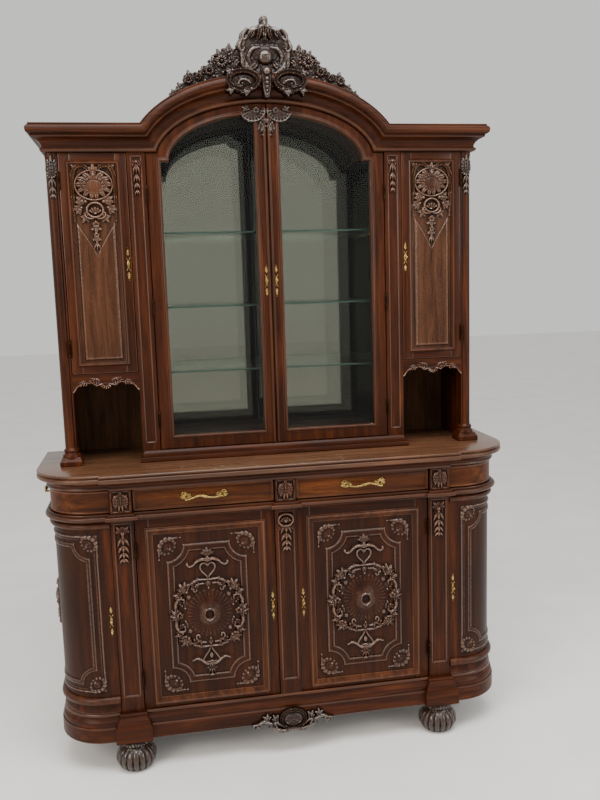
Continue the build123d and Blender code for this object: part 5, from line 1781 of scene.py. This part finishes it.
print("posts and feet turned")


# %% [markdown]
# ## Brass
# The pulls are cast in the rococo manner: a bar with a twist between two leafy ends. The keyhole
# plates are tall and leafy, with a turned key knob. The castings are modelled in relief in the
# same way as the carving, and the hinges are turned knuckles with eased ends.

# %% Keyhole plates
def keyhole_relief(tall):
    """Tall plate with a leaf and two scrolls at each end."""
    c = Carving(-9, 9, -tall / 2, tall / 2, 0.7)
    end = tall / 2
    for s in (-1, 1):
        c.leaf((0, s * end * 0.5), (0, s * (end - 1)), 5.5, 2.4, 0, 4)
        c.scroll((1.5, s * end * 0.2), 70 * s, end * 0.55, [-s * 2, -s * 5, -s * 16], 1.7, 2.4,
                 "round")
        c.dome(0, s * end * 0.52, 3, 3, 3)
    c.dome(0, 0, 6.5, 12, 2.6)
    c.both_sides()
    return c


def key_knob(x, y, z, side):
    """Turned knob: rings of points along the depth."""
    profile = [(2, 0), (2, 4), (4.6, 6), (5, 9), (4.2, 11.5), (2, 12.4)]
    rows = [[(side * x + r * math.cos(a), y - d, z + r * math.sin(a))
             for a in full_turn(16)] for r, d in profile]
    made = skin("knob", rows, wrap_columns=True)
    return plain_tone(made)


def knuckle_rod(x, y, z0, z1, radius=4):
    """Upright hinge knuckle with eased ends."""
    profile = [(0, z0), (radius * 0.9, z0), (radius, z0 + 0.6), (radius, z1 - 0.6),
               (radius * 0.9, z1), (0, z1)]
    made = turned("knuckle", x, y, profile, 20)
    return plain_tone(made)


plate_tall = 104
# hinge pins (x, y) and the foot of each hinge
hinges = {
    "base_door": [(522, -194.2, z) for z in (328, 798)],
    "end_door": [(804.2, 213.5, z) for z in (318, 563, 808)],
    "tower_door": [(705.5, -49.2, z) for z in (1486, 2050)],
    "glass_door": [(417.5, -49.2, z) for z in (1225, 1612.5, 2000)],
}
plates = {
    "base_door": ("door_base_", door_x0 + 14, face, 555),
    "end_door": ("door_end_", end_x0 + 15, face, 555),
    "tower_door": ("door_tower_", tx0 + 11, upper_face, 1769),
    "glass_door": ("door_glass_", gx0 + 16, upper_face, 1699),
}
relief = keyhole_relief(plate_tall)
for kind, (body, x, y, z) in plates.items():
    for name, side in SIDES:
        node = f"{name}_{kind}_fittings"

        def place(u, v, h, side=side, x=x, y=y, z=z):
            return (side * (x + 0.72 * u), y - h, z + 1.1 * v)

        made = carved_piece("plate", relief, place, 0, 0.6)
        knob = key_knob(x, y, z, side)
        dress(joined(f"{name}_{kind}_keyhole_plate", [made, knob]), brass, body + name)
        rear = y + (26 if kind == "glass_door" else 24)
        case = side_boards("case", side, [(x - 8, x + 20, rear, rear + 10, z - 35, z + 35)], 0.8)
        parts = [case]
        for hx, hy, hz in hinges[kind]:
            parts.append(knuckle_rod(side * hx, hy, hz + 0.3, hz + 30))
            leaf_box = (hx - 1.5, hx - 0.3, hy, y + 22)
            if kind == "end_door":
                leaf_box = (half - 22, hx, hy - 1.5, hy - 0.3)
            parts.append(side_boards("leaf", side, [(*leaf_box, hz + 0.3, hz + 30)], 0.1))
        dress(joined(f"{name}_{kind}_hinges", parts), dark_brass, body + name, [node])
paint("fixed_hinge_knuckles", dark_brass)
print("keyhole plates", 2 * len(plates))

# %% Pulls
def pull_points(length):
    """Line of a pull bar, from one end to the other: (along, out, up)."""
    share = np.linspace(-1, 1, 61)
    rise = 3.5 * np.cos(share * math.pi) + 3.5 * np.sin(share * math.pi * 1.5)
    return [(s * length / 2 * 0.8, 20 + 6 * (1 - abs(s) ** 4), u) for s, u in zip(share, rise)]


def cast_pull(name, length, place):
    """Bar pull: place(along, out, up) gives a point in millimetres."""
    rows = []
    for k, (along, out, up) in enumerate(pull_points(length)):
        share = k / 60
        lumps = 1 + 0.28 * abs(math.sin(share * 34))
        radius = (3.4 + 2.6 * math.exp(-((share - 0.5) / 0.07) ** 2)) * lumps
        radius *= 0.75 + 0.25 * math.sin(math.pi * share)
        rows.append([place(along, out + radius * math.cos(a), up + radius * math.sin(a))
                     for a in full_turn(12)])
    bar = skin("bar", rows, wrap_columns=True)
    parts = [plain_tone(bar)]
    c = Carving(-length / 2, length / 2, -17, 17, 0.9)
    end = length / 2 - 20
    c.leaf((end - 8, 2), (length / 2 - 1, -3), 11, 4, 4, 4)
    c.leaf((end + 2, 0), (end - 24, 8), 8, 3, 3, 3)
    c.scroll((end - 4, 2), 100, 40, [-3, -7, -14], 2.4, 4, "round")
    c.scroll((end - 2, -2), -70, 30, [4, 9, 16], 2.2, 3.5, "round")
    c.flower(end, 0, 8, 5, 5)
    c.both_sides()
    parts.append(carved_piece("leaves", c, lambda u, v, h: place(u, h, v), 0, 0.5))
    for s in (-1, 1):
        rows = [[place(s * end + r * math.cos(a), out, r * math.sin(a))
                 for a in full_turn(14)]
                for r, out in ((5, 1), (5.5, 4), (3.6, 8), (3.4, 16), (5, 20), (4.8, 24),
                               (2, 27))]
        stud = skin("stud", rows, wrap_columns=True)
        parts.append(plain_tone(stud))
    return joined(name, parts)


drawer_pull_long, end_pull_long = 165, 120
pull_z = (drawer_low[2] + drawer_high[2]) / 2
pull_x = (drawer_low[0] + drawer_high[0]) / 2
for name, side in SIDES:
    dress(cast_pull(name + "_drawer_pull_cast", drawer_pull_long,
                    lambda u, out, up, side=side: (side * (pull_x + u), drawer_low[1] - out,
                                                   pull_z + up)),
          brass, "drawer_base_" + name, [name + "_base_drawer_pull"])
    dress(cast_pull(name + "_end_pull_cast", end_pull_long,
                    lambda u, out, up, side=side: (side * (half + 9 + out), corner_y + 110 + u,
                                                   pull_z + up)),
          brass, "drawer_end_" + name, [name + "_end_drawer_pull"])
print("pulls at height", pull_z)


# %% [markdown]
# ## Glass
# A shelf looks green at its front edge, where one looks along the plate, so each shelf gets a ground
# edge with that colour. The meeting stiles of the glazed doors carry a bead that hides their joint,
# and stops behind the doors keep the light out of the gap at their hinges.

# %% Shelf edges and meeting beads
shelf_x0, shelf_y0, _ = low("glass_shelves")
shelf_x1 = high("glass_shelves")[0]
levels = sorted({round(v.co.z / MM, 1) for v in nodes["glass_shelves"].data.vertices})
edges = [(shelf_x0, shelf_x1, shelf_y0 - 0.6, shelf_y0 - 0.05, z - 6, z) for z in levels[1::2]]
dress(plain_boards("shelf_front_edges", edges, 0.2), edge_glass, "cabinet")
meeting_bead = half_round(-5.5, 5.5, 5.5)
for name, side in SIDES:
    def bead_line(out, up, side=side):
        return [(side * (gx0 + 6.5 + up), upper_face - out, z)
                for z in (gz0 + 2, spring_z + 178)]

    dress(run(name + "_meeting_bead", meeting_bead, bead_line), oak_up, "door_glass_" + name)
print("shelves", len(edges))

# %% Stops behind the glazed doors
stop_y = door_rear + 1
stops = [(*sorted((side * 406, side * 434)), stop_y, stop_y + 8, gz0, spring_z + 30)
         for _, side in SIDES]
dress(plain_boards("glazed_door_stops", stops, 0.8), inside_oak, "cabinet")
print("stops", len(stops))
